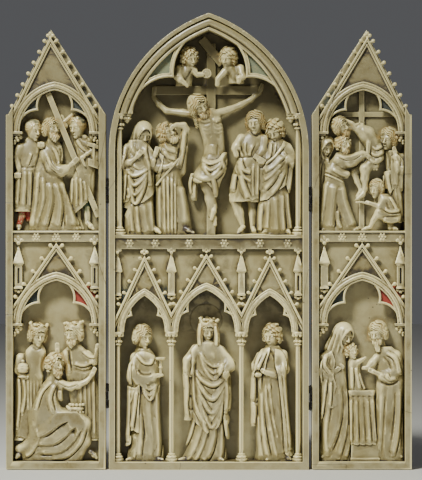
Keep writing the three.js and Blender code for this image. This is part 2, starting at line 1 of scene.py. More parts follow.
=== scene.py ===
import math
import bmesh
import bpy
import numpy as np
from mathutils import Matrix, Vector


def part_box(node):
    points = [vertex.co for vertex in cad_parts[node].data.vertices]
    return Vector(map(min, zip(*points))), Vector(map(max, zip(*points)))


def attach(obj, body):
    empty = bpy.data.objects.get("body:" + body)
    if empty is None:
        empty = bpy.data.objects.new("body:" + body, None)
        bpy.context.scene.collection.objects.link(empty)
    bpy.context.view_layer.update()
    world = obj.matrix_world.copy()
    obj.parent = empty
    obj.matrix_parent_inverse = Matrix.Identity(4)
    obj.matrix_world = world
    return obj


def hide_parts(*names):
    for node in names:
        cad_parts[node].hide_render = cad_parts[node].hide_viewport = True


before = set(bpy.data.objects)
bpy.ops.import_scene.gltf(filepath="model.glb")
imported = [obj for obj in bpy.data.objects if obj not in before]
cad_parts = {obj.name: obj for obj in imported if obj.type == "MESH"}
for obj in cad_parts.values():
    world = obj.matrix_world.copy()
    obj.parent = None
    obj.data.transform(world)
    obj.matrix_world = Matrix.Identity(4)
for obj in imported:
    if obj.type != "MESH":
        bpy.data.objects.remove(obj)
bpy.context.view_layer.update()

import openvdb
from mathutils import Matrix, Vector

# ---------------------------------------------------------------- the blocks of ivory
# Each of the three leaves is one slab of tusk, sawn flat and then carved away from the front. Ivory is carved,
# not put together, so a leaf is worked here as a block: a grid of distances to the surface, negative inside,
# that is added to and cut, and turned into one closed skin at the end. x, depth and height are in millimetres,
# x from the middle of the leaf and depth from its front plane.
MM = 0.001
PITCH = 0.35


def soft_min(a, b, blend):
    if blend <= 0:
        return np.minimum(a, b)
    near = np.maximum(blend - np.abs(a - b), 0)
    return np.minimum(a, b) - near * near / (4 * blend)


class Block:
    def __init__(self, low, high):
        self.axes = [np.arange(a, b + PITCH, PITCH, dtype=np.float32) for a, b in zip(low, high)]
        self.field = np.full([len(axis) for axis in self.axes], 4.0, np.float32)
        self.paints = []

    def near(self, low, high):
        spans = tuple(slice(int(np.searchsorted(axis, a)), int(np.searchsorted(axis, b, side="right")))
                      for axis, a, b in zip(self.axes, low, high))
        return spans, np.ix_(*[axis[span] for axis, span in zip(self.axes, spans)])

    def whole(self):
        return self.near([axis[0] for axis in self.axes], [axis[-1] for axis in self.axes])

    def add(self, low, high, shape, blend=0.0):
        spans, (x, d, z) = self.near(low, high)
        self.field[spans] = soft_min(self.field[spans], shape(x, d, z), blend)

    def cut(self, low, high, shape, blend=0.0):
        spans, (x, d, z) = self.near(low, high)
        self.field[spans] = -soft_min(-self.field[spans], shape(x, d, z), blend)

    def ball(self, at, size, blend=0.3, stretch=(1, 1, 1)):
        reach = [size * s + blend + 0.6 for s in stretch]
        least = min(stretch)
        self.add([v - r for v, r in zip(at, reach)], [v + r for v, r in zip(at, reach)],
                 lambda x, d, z: (np.sqrt(((x - at[0]) / stretch[0]) ** 2 + ((d - at[1]) / stretch[1]) ** 2
                                          + ((z - at[2]) / stretch[2]) ** 2) - size) * least, blend)

    def rod(self, points, blend=0.4, flat=1.0):
        """A round form drawn through points (x, depth, height, radius); flat thins it in depth."""
        for a, b in zip(points, points[1:]):
            reach = max(a[3], b[3]) + blend + 0.7
            self.add([min(p, q) - reach for p, q in zip(a[:3], b[:3])],
                     [max(p, q) + reach for p, q in zip(a[:3], b[:3])],
                     lambda x, d, z: cone(x, d, z, a, b, flat), blend)

    def rods(self, *rows):
        """rows are (blend, points...), one for each round form."""
        for blend, *points in rows:
            self.rod(points, blend)

    def plank(self, low, high, middle, half, front, back, blend, way=(1, 0)):
        """A flat bar inside the box low to high: middle and half lie in the front view, way is how it runs there."""
        def bar(x, d, z):
            off_x, off_z = x - middle[0], z - middle[1]
            along, across = off_x * way[0] + off_z * way[1], off_z * way[0] - off_x * way[1]
            return slab(np.maximum(np.abs(along) - half[0], np.abs(across) - half[1]), d, front, back)

        self.add(low, high, bar, blend)

    def tint(self, low, high, colour, weight=1.0, where=None):
        self.paints.append((low, high, colour, weight, where))

    def stain(self, colour, start, end, reach, weight=1.0):
        self.tint([min(a, b) - reach for a, b in zip(start, end)], [max(a, b) + reach for a, b in zip(start, end)],
                  colour,
                  weight, (start, end, reach))


def cone(x, d, z, a, b, flat=1.0):
    way = [q - p for p, q in zip(a[:3], b[:3])]
    way[1] /= flat
    length = sum(v * v for v in way) or 1e-6
    px, pd, pz = x - a[0], (d - a[1]) / flat, z - a[2]
    t = np.clip((px * way[0] + pd * way[1] + pz * way[2]) / length, 0, 1)
    gap = np.sqrt((px - t * way[0]) ** 2 + (pd - t * way[1]) ** 2 + (pz - t * way[2]) ** 2)
    return (gap - (a[3] + (b[3] - a[3]) * t)) * flat


# ---------------------------------------------------------------- the carver's outlines
# The outlines that the frames are set out with, each a distance in the front view that is negative inside it:
# the two-centred pointed arch, the three-lobed opening under it, and the straight-sided gable.
def pointed_arch(x, z, middle, half, spring, apex):
    rise = apex - spring
    radius = (rise * rise + half * half) / (2 * half)
    side = np.abs(x - middle)
    above = np.hypot(side + radius - half, z - spring) - radius
    return np.where(z < spring, side - half + 0 * z, above)


def trefoil(x, z, middle, lobe, head):
    side = np.abs(x - middle)
    low = np.hypot(side - lobe[0], z - lobe[1]) - lobe[2]
    top = np.hypot(side + head[0], z - head[1]) - head[2]
    stem = np.maximum(side - lobe[0] - lobe[2], z - lobe[1])
    return np.minimum(np.minimum(low, top), stem)


def gable_line(x, z, middle, half, feet, peak, peak_x=None):
    peak_x = middle if peak_x is None else peak_x
    worst = None
    for side in (-1, 1):
        foot = middle + side * half
        run, rise = peak_x - foot, peak - feet
        slope = side * ((x - foot) * rise - (z - feet) * run) / math.hypot(run, rise)
        worst = slope if worst is None else np.maximum(worst, slope)
    return worst


def slab(outline, d, front, back):
    return np.maximum(outline, np.maximum(front - d, d - back))


def bead(outline, d, inset, depth, radius):
    return np.hypot(outline + inset, d - depth) - radius


def upright(x, d, z, at, profile, square=False):
    """A turned or four-sided upright about a vertical line: profile is its (height, radius) pairs."""
    heights, radii = zip(*profile)
    radius = np.interp(z, heights, radii)
    out = np.maximum(np.abs(x - at[0]), np.abs(d - at[1])) if square else np.hypot(x - at[0], d - at[1])
    return np.maximum(out - radius, np.maximum(heights[0] - z, z - heights[-1]))


# ---------------------------------------------------------------- capitals, turrets, crockets and rosettes
# The small carved ornaments: columns with leafy capitals, pinnacle turrets with a dark slot and a leaf on
# the tip, ball crockets on the gables, and the row of little flowers on the friezes.
def column(block, x0, d0, foot, neck, top, radius):
    profile = [
        (foot, radius * 2.4), (foot + 2.4, radius * 2.4), (foot + 2.5, radius * 1.7), (foot + 3.2, radius * 2.1),
        (foot + 4.2, radius * 2.0), (foot + 4.8, radius * 1.3), (foot + 5.6, radius * 1.6), (foot + 6.2, radius),
        (neck, radius * 0.97), (neck + 0.3, radius * 1.55), (neck + 1.2, radius * 1.55), (neck + 1.5, radius * 1.1),
        (top - 3.4, radius * 1.3), (top - 1.9, radius * 2.0), (top - 1.8, radius * 2.5), (top - 0.3, radius * 2.5),
        (top, radius * 2.2),
    ]
    reach = radius * 2.6
    low, high = (x0 - reach, d0 - reach, foot - 0.3), (x0 + reach, d0 + reach, top + 0.3)
    block.add(low, high, lambda x, d, z: upright(x, d, z, (x0, d0), profile), 0.2)
    middle = (neck + top) / 2
    for turn in (-1.25, -0.42, 0.42, 1.25):
        for up, out, big in ((-0.2, 1.5, 0.55), (0.24, 1.95, 0.72)):
            leaf = (x0 + math.sin(turn) * radius * out, d0 - math.cos(turn) * radius * out, middle + up * (top - neck))
            block.ball(leaf, radius * big, 0.25)


def leaf_finial(block, x0, d0, foot, size, petals=3):
    parts = [(-0.85, 1.0, 0.62), (0.85, 1.0, 0.62), (0, 1.75, 0.62), (0, 0.35, 0.42)]
    if petals == 4:
        parts = [(-0.9, 0.95, 0.6), (0.9, 0.95, 0.6), (0, 1.8, 0.6), (0, 0.1, 0.6), (0, 0.95, 0.4)]
    for side, up, big in parts:
        block.ball((x0 + side * size, d0, foot + up * size), big * size, 0.3, (1, 0.8, 1))


def turret(block, x0, d0, foot, eaves, tip, wide, slot=True):
    reach = wide * 2
    low, high = (x0 - reach, d0 - reach, foot - 4), (x0 + reach, d0 + reach, tip + 0.5)
    body = [(foot - 1.6, wide * 1.2), (foot - 0.3, wide * 1.2), (foot - 0.2, wide), (eaves - 1.4, wide),
            (eaves - 1.3, wide * 1.2), (eaves - 0.5, wide * 1.2), (eaves - 0.4, wide * 1.5), (eaves + 0.3, wide * 1.5),
            (tip - 3.2, wide * 0.4), (tip, wide * 0.15)]
    block.add(low, high, lambda x, d, z: upright(x, d, z, (x0, d0), body, True))
    if slot:
        middle = (foot + eaves) / 2 - 0.6
        block.cut(low, high, lambda x, d, z: np.maximum(np.maximum(
            np.abs(x - x0) - wide * 0.3, np.abs(d - d0 + wide) - 1.6), np.abs(z - middle) - (eaves - foot) * 0.34))
    for side in (-1, 0, 1):
        block.ball((x0 + side * wide * 0.72, d0 - wide * 0.25, foot - 2.6 - (1.0 if side == 0 else 0)), wide * 0.5)


def crockets(block, middle, half, feet, peak, d0, count, size, off, peak_x=None):
    peak_x = middle if peak_x is None else peak_x
    begin, end = 0.13, 0.93
    for side in (-1, 1):
        foot = middle + side * half
        run, rise = peak_x - foot, peak - feet
        length = math.hypot(run, rise)
        out = (rise / length * side, abs(run) / length)
        for i in range(count):
            t = begin + (end - begin) * i / (count - 1)
            for step, big in ((0.3, 0.6), (1.0, 1.0)):
                block.ball((foot + run * t + out[0] * off * step, d0 + 0.6 - 0.6 * step,
                            feet + rise * t + out[1] * off * step), size * big, 0.25)


def rosette(block, x0, z0, face, size, petals):
    def flower(x, d, z):
        angle = np.arctan2(z - z0, x - x0)
        out = np.hypot(x - x0, z - z0)
        edge = size * (0.84 + 0.16 * np.cos(petals * angle))
        swell = 1.3 * np.clip(1 - (out / edge) ** 2, 0, None) ** 0.5 - 0.7 * np.exp(-((out - size * 0.38) / 0.5) ** 2)
        return np.maximum(face - swell - d, out - edge) * 0.8
    block.add((x0 - size, face - 1.8, z0 - size), (x0 + size, face + 1.5, z0 + size), flower, 0.15)
    block.ball((x0, face - 0.6, z0), size * 0.27, 0.1)


# ---------------------------------------------------------------- a bay of the frame
# One bay, cut from the solid: a moulded pointed arch, a cusped three-lobed opening set back under it with small
# sunk spandrels, and a gable with a raised double rim and crockets, all in front of the wall that closes the bay.
def bay(block, middle, arch, lobe, head, gable, span, wall, floor, knobs):
    half, spring, apex, band = arch
    gable_half, feet, peak, peak_x = gable
    left, right, low, high = span

    def carve(x, d, z):
        under = low - z
        outer = pointed_arch(x, z, middle, half, spring, apex)
        light = pointed_arch(x, z, middle, half - band, spring, apex - band * 1.08)
        foil = trefoil(x, z, middle, lobe, head)
        rake = gable_line(x, z, middle, gable_half, feet, peak, peak_x)
        sides = np.maximum(np.maximum(left - x, x - right), np.maximum(low - z, z - high))
        field = slab(sides, d, wall, floor + 2)
        over = np.maximum(rake, under)
        field = np.minimum(field, slab(over, d, 3.5, wall + 1))
        field = np.minimum(field, slab(np.maximum(over, -rake - 3.2), d, 2.4, wall + 1))
        for inset, depth, radius in ((0.9, 1.9, 0.9), (2.75, 2.4, 0.6)):
            field = np.minimum(field, np.maximum(bead(rake, d, inset, depth, radius), under))
        field = np.minimum(field, slab(np.maximum(outer, under), d, 2.6, wall + 1))
        for inset, depth, radius in ((0.45, 2.3, 0.75), (band * 0.55, 2.5, band * 0.3)):
            field = np.minimum(field, np.maximum(bead(outer, d, inset, depth, radius), under))
        field = np.maximum(field, -slab(light, d, -9, floor))
        cusps = np.maximum(np.maximum(light - 0.3, -foil), under)
        field = np.minimum(field, slab(cusps, d, 5.6, 7.6))
        field = np.minimum(field, slab(np.maximum(cusps, foil - 1.5), d, 3.6, 7.4))
        field = np.minimum(field, np.maximum(bead(foil, d, -0.8, 3.7, 0.75), np.maximum(light - 0.2, under)))
        return np.minimum(field, np.maximum(bead(light, d, -0.1, 3.0, 0.75), under))

    block.add((left, 0, low), (right, floor + 1, high), carve)
    if knobs:
        crockets(block, middle, gable_half, feet, peak, 2.6, *knobs)


# ---------------------------------------------------------------- the centre leaf's frame
# The tall centre leaf has a pointed head with a bold moulding, a large three-lobed opening over its upper scene,
# a frieze of rosettes, and three gabled niches on slim columns below.
CENTRE = dict(half=70.0, height=320.0, spring=222.0, depth=28.0, floor=23.5, strip=4.2, sole=5.6, impost=249.5,
              spring_below=96.3, frieze=158.6)
COLUMNS = (-64.1, -26.2, 22.9, 62.7)

centre = Block((-70.8, -0.8, -0.8), (70.8, 28.8, 320.8))
spans, (x, d, z) = centre.whole()
outline = pointed_arch(x, z, 0, CENTRE["half"], CENTRE["spring"], CENTRE["height"])
straight = np.maximum(outline + CENTRE["strip"], z - CENTRE["impost"])
recess = np.maximum(np.minimum(straight, outline + 11.0), CENTRE["sole"] - z)
centre.field = np.maximum(slab(np.maximum(outline, -z), d, 0, CENTRE["depth"]),
                          -np.maximum(recess, d - CENTRE["floor"]))

head_only = CENTRE["impost"] - z
centre.field = np.maximum(centre.field, -slab(np.maximum(outline + 2.7, head_only), d, -2, 3.6))
for inset, depth, radius in ((1.5, 1.75, 1.45), (5.6, 3.6, 2.7), (9.9, 3.7, 1.15)):
    centre.field = np.minimum(centre.field, np.maximum(bead(outline, d, inset, depth, radius), head_only))

# Its large opening and the plate around it, with a raised edge that follows the three lobes.
big = trefoil(x, z, 0.8, (28.3, 249.4, 26.0), (5.7, 278.7, 31.2))
plate = np.maximum(np.maximum(outline + 10.6, -big), head_only)
centre.field = np.minimum(centre.field, slab(plate, d, 7.0, 10.5))
centre.field = np.minimum(centre.field, slab(np.maximum(plate, big - 2.6), d, 4.4, 10.5))
for inset, depth, radius in ((-0.7, 4.3, 0.95), (-2.4, 4.4, 0.5)):
    rim = np.maximum(bead(big, d, inset, depth, radius), np.maximum(outline + 10.2, head_only))
    centre.field = np.minimum(centre.field, rim)

# The frieze between the two storeys and the ledge that the upper figures stand on.
frieze = slab(np.maximum(np.abs(x) - 68, np.abs(z - CENTRE["frieze"]) - 3.9), d, 1.9, 24)
ledge = slab(np.maximum(np.abs(x) - 68, np.abs(z - 163.4) - 1.1), d, 0.7, 24)
centre.field = np.minimum(centre.field, np.minimum(frieze, ledge))
del outline, straight, recess, big, plate, head_only, frieze, ledge

for i in range(3):
    left, right = COLUMNS[i], COLUMNS[i + 1]
    middle, half = (left + right) / 2, (right - left) / 2
    rise = 34.5 if i == 1 else 30.5
    inner, spring = half - 3.9, CENTRE["spring_below"]
    peak = 151.6 if i == 1 else 150.2
    bay(centre, middle, (half - 0.2, spring, spring + rise, 3.9), (inner * 0.49, 99.8, inner * 0.53),
        (inner * 0.05, spring + rise * 0.51, inner * 0.66), (half, 110.0, peak, None),
        (left if i else -67, right if i < 2 else 67, spring, 156.0), 6.0, 23.6, (5, 1.25, 2.0))
    leaf_finial(centre, middle, 2.6, peak + 0.3, 2.0)
for x0 in COLUMNS:
    column(centre, x0, 4.9, 5.2, 87.0, 96.6, 1.75)
    turret(centre, x0, 5.0, 123.5, 139.2, 152.5, 2.3, x0 == COLUMNS[3])
    leaf_finial(centre, x0, 2.6, 152.0, 2.0, 4)
for side in (-1, 1):
    column(centre, side * 62.9, 5.2, 164.2, 238.5, 249.8, 1.95)
    corbel = [(243.0, 0.4), (244.4, 1.7), (246.8, 2.5), (247.4, 2.0), (248.0, 3.1), (249.8, 3.1)]
    centre.add((side * 57.6 - 4, 2, 242), (side * 57.6 + 4, 12, 250),
               lambda x, d, z: upright(x, d, z, (side * 57.6, 6.6), corbel), 0.3)
    for turn in range(5):
        way = turn * math.pi / 4
        centre.ball((side * 57.6 - 2.4 * math.cos(way), 6.6 - 2.4 * math.sin(way), 246.4), 0.85, 0.3)
for x0 in (-55.6, -37.4, -13.7, 10.9, 36.0, 55.3):
    rosette(centre, x0, CENTRE["frieze"], 1.9, 3.1, 6)
spans, (x, d, z) = centre.near((-71, -1, 236), (71, 29, 256))
outline = pointed_arch(x, z, 0, CENTRE["half"], CENTRE["spring"], CENTRE["height"])
centre.field[spans] = np.maximum(centre.field[spans], outline)
for side in (-1, 1):
    centre.tint((side * 40 - 14, 5.5, 266), (side * 40 + 14, 8.4, 300), "sage", 0.75)
for middle in (-45.2, -1.6, 42.8):
    centre.tint((middle - 16, 5.0, 104), (middle + 16, 8.4, 128), "night", 0.95)
    # Painted shade on the back walls under the arches of the lower niches, darker towards the top and most in the
    # middle niche.
    strength = 0.19 if middle == -1.6 else 0.12
    for step in range(5):
        low = 100 + step * 5
        centre.tint((middle - 18, 18, low), (middle + 18, 29, low + 5), "painted_shade", strength * (step + 1))
# Painted shade along the frieze and on the panel of the middle gable.
centre.tint((-67, 1.0, 153.6), (67, 12, 162.8), "painted_shade", 0.42)
centre.tint((-15, 5, 128), (12, 9, 152), "painted_shade", 0.45)


# ---------------------------------------------------------------- carved cloth
# The figures' clothes: a full round form with sleeves, over which the carver cut folds and laid mantles with
# their own edges. Folds are drawn in the front view as ridges with a crease on each side.
def smooth_line(points, steps=8):
    points = np.array(points, float)
    ends = np.vstack([2 * points[0] - points[1], points, 2 * points[-1] - points[-2]])
    t = np.linspace(0, 1, steps, endpoint=False)[:, None]
    line = [0.5 * (2 * b + (c - a) * t + (2 * a - 5 * b + 4 * c - e) * t ** 2 + (3 * b - a - 3 * c + e) * t ** 3)
            for a, b, c, e in zip(ends, ends[1:], ends[2:], ends[3:])]
    return np.vstack(line + [points[-1:]])


class Cloth:
    def __init__(self, block, left, right, low, high, front, back):
        self.block = block
        self.spans, (self.x, self.d, self.z) = block.near((left, front, low), (right, back, high))
        self.form = np.full(block.field[self.spans].shape, 9.0, np.float32)
        self.done = self.form.copy()
        self.edge = None
        self.lift = 0.0
        self.clear()

    def clear(self):
        flat = (self.form.shape[0], self.form.shape[2])
        self.up, self.down = np.zeros(flat, np.float32), np.zeros(flat, np.float32)

    def body(self, rows, power=2.3):
        """rows are (height, middle, half width, depth of the middle, half depth), from the top down."""
        rows = np.array(sorted(rows), float)
        heights = self.z[0, 0]
        fine = np.linspace(rows[0, 0], rows[-1, 0], 160)
        kernel = np.hanning(25)
        kernel /= kernel.sum()
        columns = []
        for i in range(1, 5):
            values = np.interp(fine, rows[:, 0], rows[:, i])
            padded = np.concatenate([np.full(12, values[0]), values, np.full(12, values[-1])])
            columns.append(np.interp(heights, fine, np.convolve(padded, kernel, "valid")).astype(np.float32))
        middle, half, depth, deep = columns
        u, v = np.abs(self.x - middle) / half, np.abs(self.d - depth) / deep
        swell = (u ** power + v ** power) ** (1 / power) + 1e-6
        slope = np.sqrt((u / swell) ** (2 * power - 2) / half ** 2 + (v / swell) ** (2 * power - 2) / deep ** 2)
        shape = np.maximum((swell - 1) / slope, np.maximum(rows[0, 0] - self.z, self.z - rows[-1, 0]))
        self.form = soft_min(self.form, shape, 2.0)

    def sleeve(self, points, blend=1.6):
        for a, b in zip(points, points[1:]):
            self.form = soft_min(self.form, cone(self.x, self.d, self.z, a, b), blend)

    def sleeves(self, *rows):
        for points in rows:
            self.sleeve(points)

    def folds(self, *rows):
        """rows are (width, height, points...), one for each fold."""
        for row in rows:
            self.fold(*row)

    def fold(self, width, height, *points):
        """A ridge along points (x, z), steep and undercut on its lower right, or a crease where height is negative."""
        line = smooth_line(points)
        x, z = self.x[:, :, 0], self.z[0]
        nearest = np.full(self.up.shape, 1e9, np.float32)
        along, lee = np.zeros(self.up.shape, np.float32), np.zeros(self.up.shape, np.float32)
        for i, (a, b) in enumerate(zip(line, line[1:])):
            way = b - a
            t = np.clip(((x - a[0]) * way[0] + (z - a[1]) * way[1]) / max(way @ way, 1e-9), 0, 1)
            off_x, off_z = x - a[0] - t * way[0], z - a[1] - t * way[1]
            gap = off_x ** 2 + off_z ** 2
            closer = gap < nearest
            nearest = np.where(closer, gap, nearest)
            along = np.where(closer, (i + t) / (len(line) - 1), along)
            lee = np.where(closer, off_x * 0.55 - off_z * 0.83, lee)
        high = height * np.clip(along / 0.12, 0.25, 1) * np.clip((1 - along) / 0.1, 0.3, 1)
        off = np.sqrt(nearest) / width
        lee = 0.5 + 0.5 * np.clip(1.5 * lee / (np.sqrt(nearest) + 0.15), -1, 1)
        if height < 0:
            self.down = np.minimum(self.down, high * np.exp(-off ** 2))
        else:
            off = off * (0.46 + 0.66 * lee)
            crest = np.sqrt(off ** 2 + 0.05) - 0.224
            self.up = np.maximum(self.up, 1.15 * high * np.clip(1 - crest * 0.85, 0, 1) ** 1.2)
            self.down = np.minimum(self.down, -0.9 * high * (0.08 + 0.92 * lee) * np.exp(-((off - 1.26) / 0.34) ** 2))

    def pleats(self, top, bottom, count, width, height):
        """Long folds that run from a line at the top to a line at the hem."""
        top, bottom = smooth_line(top), smooth_line(bottom)
        for i in range(count):
            t = (i + 0.5) / count
            a, b = [line[min(int(t * len(line)), len(line) - 1)] for line in (top, bottom)]
            self.fold(width, height * (0.85 + 0.15 * math.cos(i * 1.9)), a, (a + b) / 2, b)

    def swags(self, left, right, sag, count, drop, width, height, lean=0.5):
        """Nested hanging folds between two points, each lower one deeper."""
        for i in range(count):
            a = (left[0] + i * 0.5, left[1] - i * drop * 0.35)
            b = (right[0] - i * 0.5, right[1] - i * drop * 0.35)
            low = (a[0] + (b[0] - a[0]) * lean, min(a[1], b[1]) - sag - i * drop)
            self.fold(width, height, a, (a[0] * 0.6 + low[0] * 0.4, a[1] * 0.38 + low[1] * 0.62), low,
                      (b[0] * 0.6 + low[0] * 0.4, b[1] * 0.38 + low[1] * 0.62), b)

    def lay(self):
        """Closes the layer being worked, with its folds, and starts the next one over it."""
        relief = self.up + self.down * np.clip(1 - self.up / 0.45, 0, 1)
        layer = self.form - self.lift
        if self.edge is not None:
            layer = np.maximum(layer, self.edge[:, None, :])
        self.done = np.minimum(self.done, layer - relief[:, None, :])
        self.clear()

    def sheet(self, lift, *outline, soft=True):
        """Starts a mantle or hem over the form: outline is its edge in the front view."""
        self.lay()
        points = np.array(outline, float)
        line = smooth_line(np.vstack([points, points[:1]]), 5) if soft else np.vstack([points, points[:1]])
        x, z = self.x[:, :, 0], self.z[0]
        nearest = np.full(self.up.shape, 1e9, np.float32)
        inside = np.zeros(self.up.shape, bool)
        for a, b in zip(line, line[1:]):
            way = b - a
            t = np.clip(((x - a[0]) * way[0] + (z - a[1]) * way[1]) / max(way @ way, 1e-9), 0, 1)
            nearest = np.minimum(nearest, (x - a[0] - t * way[0]) ** 2 + (z - a[1] - t * way[1]) ** 2)
            if a[1] != b[1]:
                crossing = ((z >= a[1]) != (z >= b[1])) & (x < a[0] + (z - a[1]) * way[0] / way[1])
                inside ^= crossing
        self.edge = np.where(inside, -1, 1) * np.sqrt(nearest)
        self.lift = lift

    def join(self, blend=0.5):
        self.lay()
        self.block.field[self.spans] = soft_min(self.block.field[self.spans], self.done, blend)


# ---------------------------------------------------------------- heads, hands and feet
# The figures' bare parts. Every head is cut to one calm pattern on plain proportions, and differs from the others
# only in how it is held and in its hair, beard, veil or crown.
def head(block, at, tall, tilt, turn, nod, wears, beard=0.0):
    """at is the middle of the head (x, depth, height), tall its height; the angles are in degrees."""
    tall *= 1.07
    pose = (Matrix.Rotation(math.radians(tilt), 3, "Y") @ Matrix.Rotation(math.radians(turn), 3, "Z")
            @ Matrix.Rotation(math.radians(nod), 3, "X"))
    u, v, w = [pose @ Vector(way) for way in ((1, 0, 0), (0, -1, 0), (0, 0, 1))]
    reach = tall * (1.0 if wears in ("veil", "long") else 0.85)
    spans, (x, d, z) = block.near([c - reach for c in at], [c + reach for c in at])
    px, pd, pz = x - at[0], d - at[1], z - at[2]
    U, V, W = [(px * way[0] + pd * way[1] + pz * way[2]) / tall for way in (u, v, w)]

    def egg(centre, radii):
        k0 = np.sqrt(((U - centre[0]) / radii[0]) ** 2 + ((V - centre[1]) / radii[1]) ** 2
                     + ((W - centre[2]) / radii[2]) ** 2)
        k1 = np.sqrt(((U - centre[0]) / radii[0] ** 2) ** 2 + ((V - centre[1]) / radii[1] ** 2) ** 2
                     + ((W - centre[2]) / radii[2] ** 2) ** 2) + 1e-6
        return k0 * (k0 - 1) / k1

    def bar(a, ra, b, rb):
        return cone(U, V, W, (*a, ra), (*b, rb))

    face = egg((0, -0.05, 0.12), (0.34, 0.40, 0.37))
    face = soft_min(face, egg((0, 0.07, -0.12), (0.275, 0.30, 0.385)), 0.12)
    for side in (-1, 1):
        face = soft_min(face, egg((side * 0.14, 0.24, -0.10), (0.11, 0.11, 0.12)), 0.08)
    face = soft_min(face, egg((0, 0.275, -0.42), (0.085, 0.08, 0.075)), 0.08)
    face = soft_min(face, bar((-0.16, 0.31, 0.085), 0.055, (0.16, 0.31, 0.085), 0.055), 0.07)
    for side in (-1, 1):
        face = -soft_min(-face, egg((side * 0.135, 0.42, 0.0), (0.095, 0.09, 0.06)), 0.05)
        face = soft_min(face, egg((side * 0.13, 0.318, -0.005), (0.075, 0.055, 0.038)), 0.012)
    face = soft_min(face, bar((0, 0.35, 0.06), 0.03, (0, 0.46, -0.135), 0.048), 0.04)
    for side in (-1, 1):
        face = soft_min(face, egg((side * 0.05, 0.405, -0.15), (0.04, 0.045, 0.035)), 0.02)
    face = soft_min(face, bar((-0.065, 0.362, -0.242), 0.022, (0.065, 0.362, -0.242), 0.022), 0.025)
    face = soft_min(face, bar((-0.05, 0.358, -0.293), 0.027, (0.05, 0.358, -0.293), 0.027), 0.025)
    face = -soft_min(-face, bar((-0.08, 0.395, -0.268), 0.012, (0.08, 0.395, -0.268), 0.012), 0.01)
    face = soft_min(face, bar((0, -0.03, -0.3), 0.18, (0, -0.12, -0.8), 0.2), 0.05)

    angle = np.arctan2(U, V)
    oval = np.hypot(U / 0.27, (W + 0.11) / 0.43)
    swirl = np.arctan2(U, W + 0.11)
    waves = np.abs(np.cos(14.5 * (oval - 1) + 1.5 * np.sin(8 * swirl))) - 0.5
    rows, turns = np.cos(11.5 * (oval - 1) + 1.1 * np.sin(5 * swirl)), np.cos(6.5 * swirl + 2.2 * np.floor(oval * 3.66))
    curls = np.abs(rows * turns) - 0.4
    opening = np.maximum((oval - 1) * 0.27, -V - 0.02)
    hair = egg((0, -0.05, 0.13), (0.40, 0.44, 0.43))
    if wears in ("waves", "crown", "curls", "long"):
        for side in (-1, 1):
            hair = soft_min(hair, egg((side * 0.33, -0.03, -0.05), (0.12, 0.19, 0.27)), 0.08)
            if wears == "long":
                hair = soft_min(hair, bar((side * 0.34, 0.0, 0.0), 0.09, (side * 0.33, -0.02, -0.5), 0.09), 0.06)
                hair = soft_min(hair, bar((side * 0.33, -0.02, -0.5), 0.09, (side * 0.42, -0.02, -0.8), 0.05), 0.06)
        hair = -soft_min(-np.maximum(hair, -W - (0.85 if wears == "long" else 0.33)), opening, 0.035)
        hair = hair - (0.10 * curls if wears == "curls" else 0.085 * waves)
    elif wears == "cropped":
        hair = np.maximum(egg((0, -0.06, 0.13), (0.37, 0.43, 0.405)), -opening)
        hair = np.maximum(hair, -W - 0.2) - 0.025 * curls
    elif wears == "veil":
        fall = soft_min(egg((0, -0.06, 0.10), (0.43, 0.47, 0.46)),
                        bar((0, -0.1, -0.1), 0.42, (0, -0.12, -0.75), 0.5), 0.1)
        opening = np.maximum((np.hypot(U / 0.27, (W + 0.06) / 0.44) - 1) * 0.25, 0.05 - V)
        hair = -soft_min(-fall, opening, 0.02)
        folds = np.cos(np.abs(angle) * 13 + W * 4 * np.sign(U)) * np.clip(0.5 - W, 0, 1)
        hair = hair - 0.03 * folds
        hair = soft_min(hair, np.abs(np.hypot(U / 0.285, (W + 0.06) / 0.455) - 1) * 0.27 + np.maximum(0, 0.12 - V)
                        - 0.035 + np.maximum(0, fall - 0.02), 0.03)
        wimple = np.maximum(egg((0, 0.0, -0.48), (0.30, 0.34, 0.24)), W + 0.38)
        hair = np.minimum(hair, wimple - 0.012 * np.cos(W * 60))
    face = np.minimum(face, hair)

    if beard:
        chin = soft_min(egg((0, 0.24, -0.40), (0.20, 0.17, 0.16)),
                        bar((0, 0.27, -0.42), 0.12, (0, 0.30, -0.42 - beard), 0.06 + 0.12 * beard), 0.06)
        for side in (-1, 1):
            chin = soft_min(chin, bar((side * 0.24, 0.12, -0.12), 0.06, (side * 0.14, 0.26, -0.36), 0.10), 0.06)
            chin = soft_min(chin, bar((side * 0.02, 0.385, -0.205), 0.026, (side * 0.15, 0.33, -0.30), 0.03), 0.03)
        chin = np.maximum(chin, -bar((-0.045, 0.42, -0.27), 0.03, (0.045, 0.42, -0.27), 0.03))
        strands = np.cos(U * 62 + 1.8 * np.sin(W * 22))
        face = np.minimum(face, chin - 0.018 * strands)
    if wears == "crown":
        band = np.abs(np.hypot(U, V + 0.05) - 0.40) - 0.035
        crest = 0.40 + 0.10 * np.maximum(0, np.cos(angle * 4)) ** 0.5
        ring = np.maximum(band, np.maximum(0.26 - W, W - crest))
        for i in range(8):
            way = i * math.pi / 4
            ring = soft_min(ring, egg((0.41 * math.sin(way), -0.05 + 0.41 * math.cos(way), 0.52),
                                      (0.085, 0.085, 0.075)), 0.03)
            ring = soft_min(ring, egg((0.42 * math.sin(way + 0.39), -0.05 + 0.42 * math.cos(way + 0.39), 0.33),
                                      (0.04, 0.04, 0.04)), 0.02)
        face = np.minimum(face, ring)
    block.field[spans] = soft_min(block.field[spans], face * tall, 0.35)
    block.tint([c - reach for c in at], [c + reach for c in at], "hair", 0.7,
               (np.array(at), np.array([list(u), list(v), list(w)]) / tall, wears, beard))


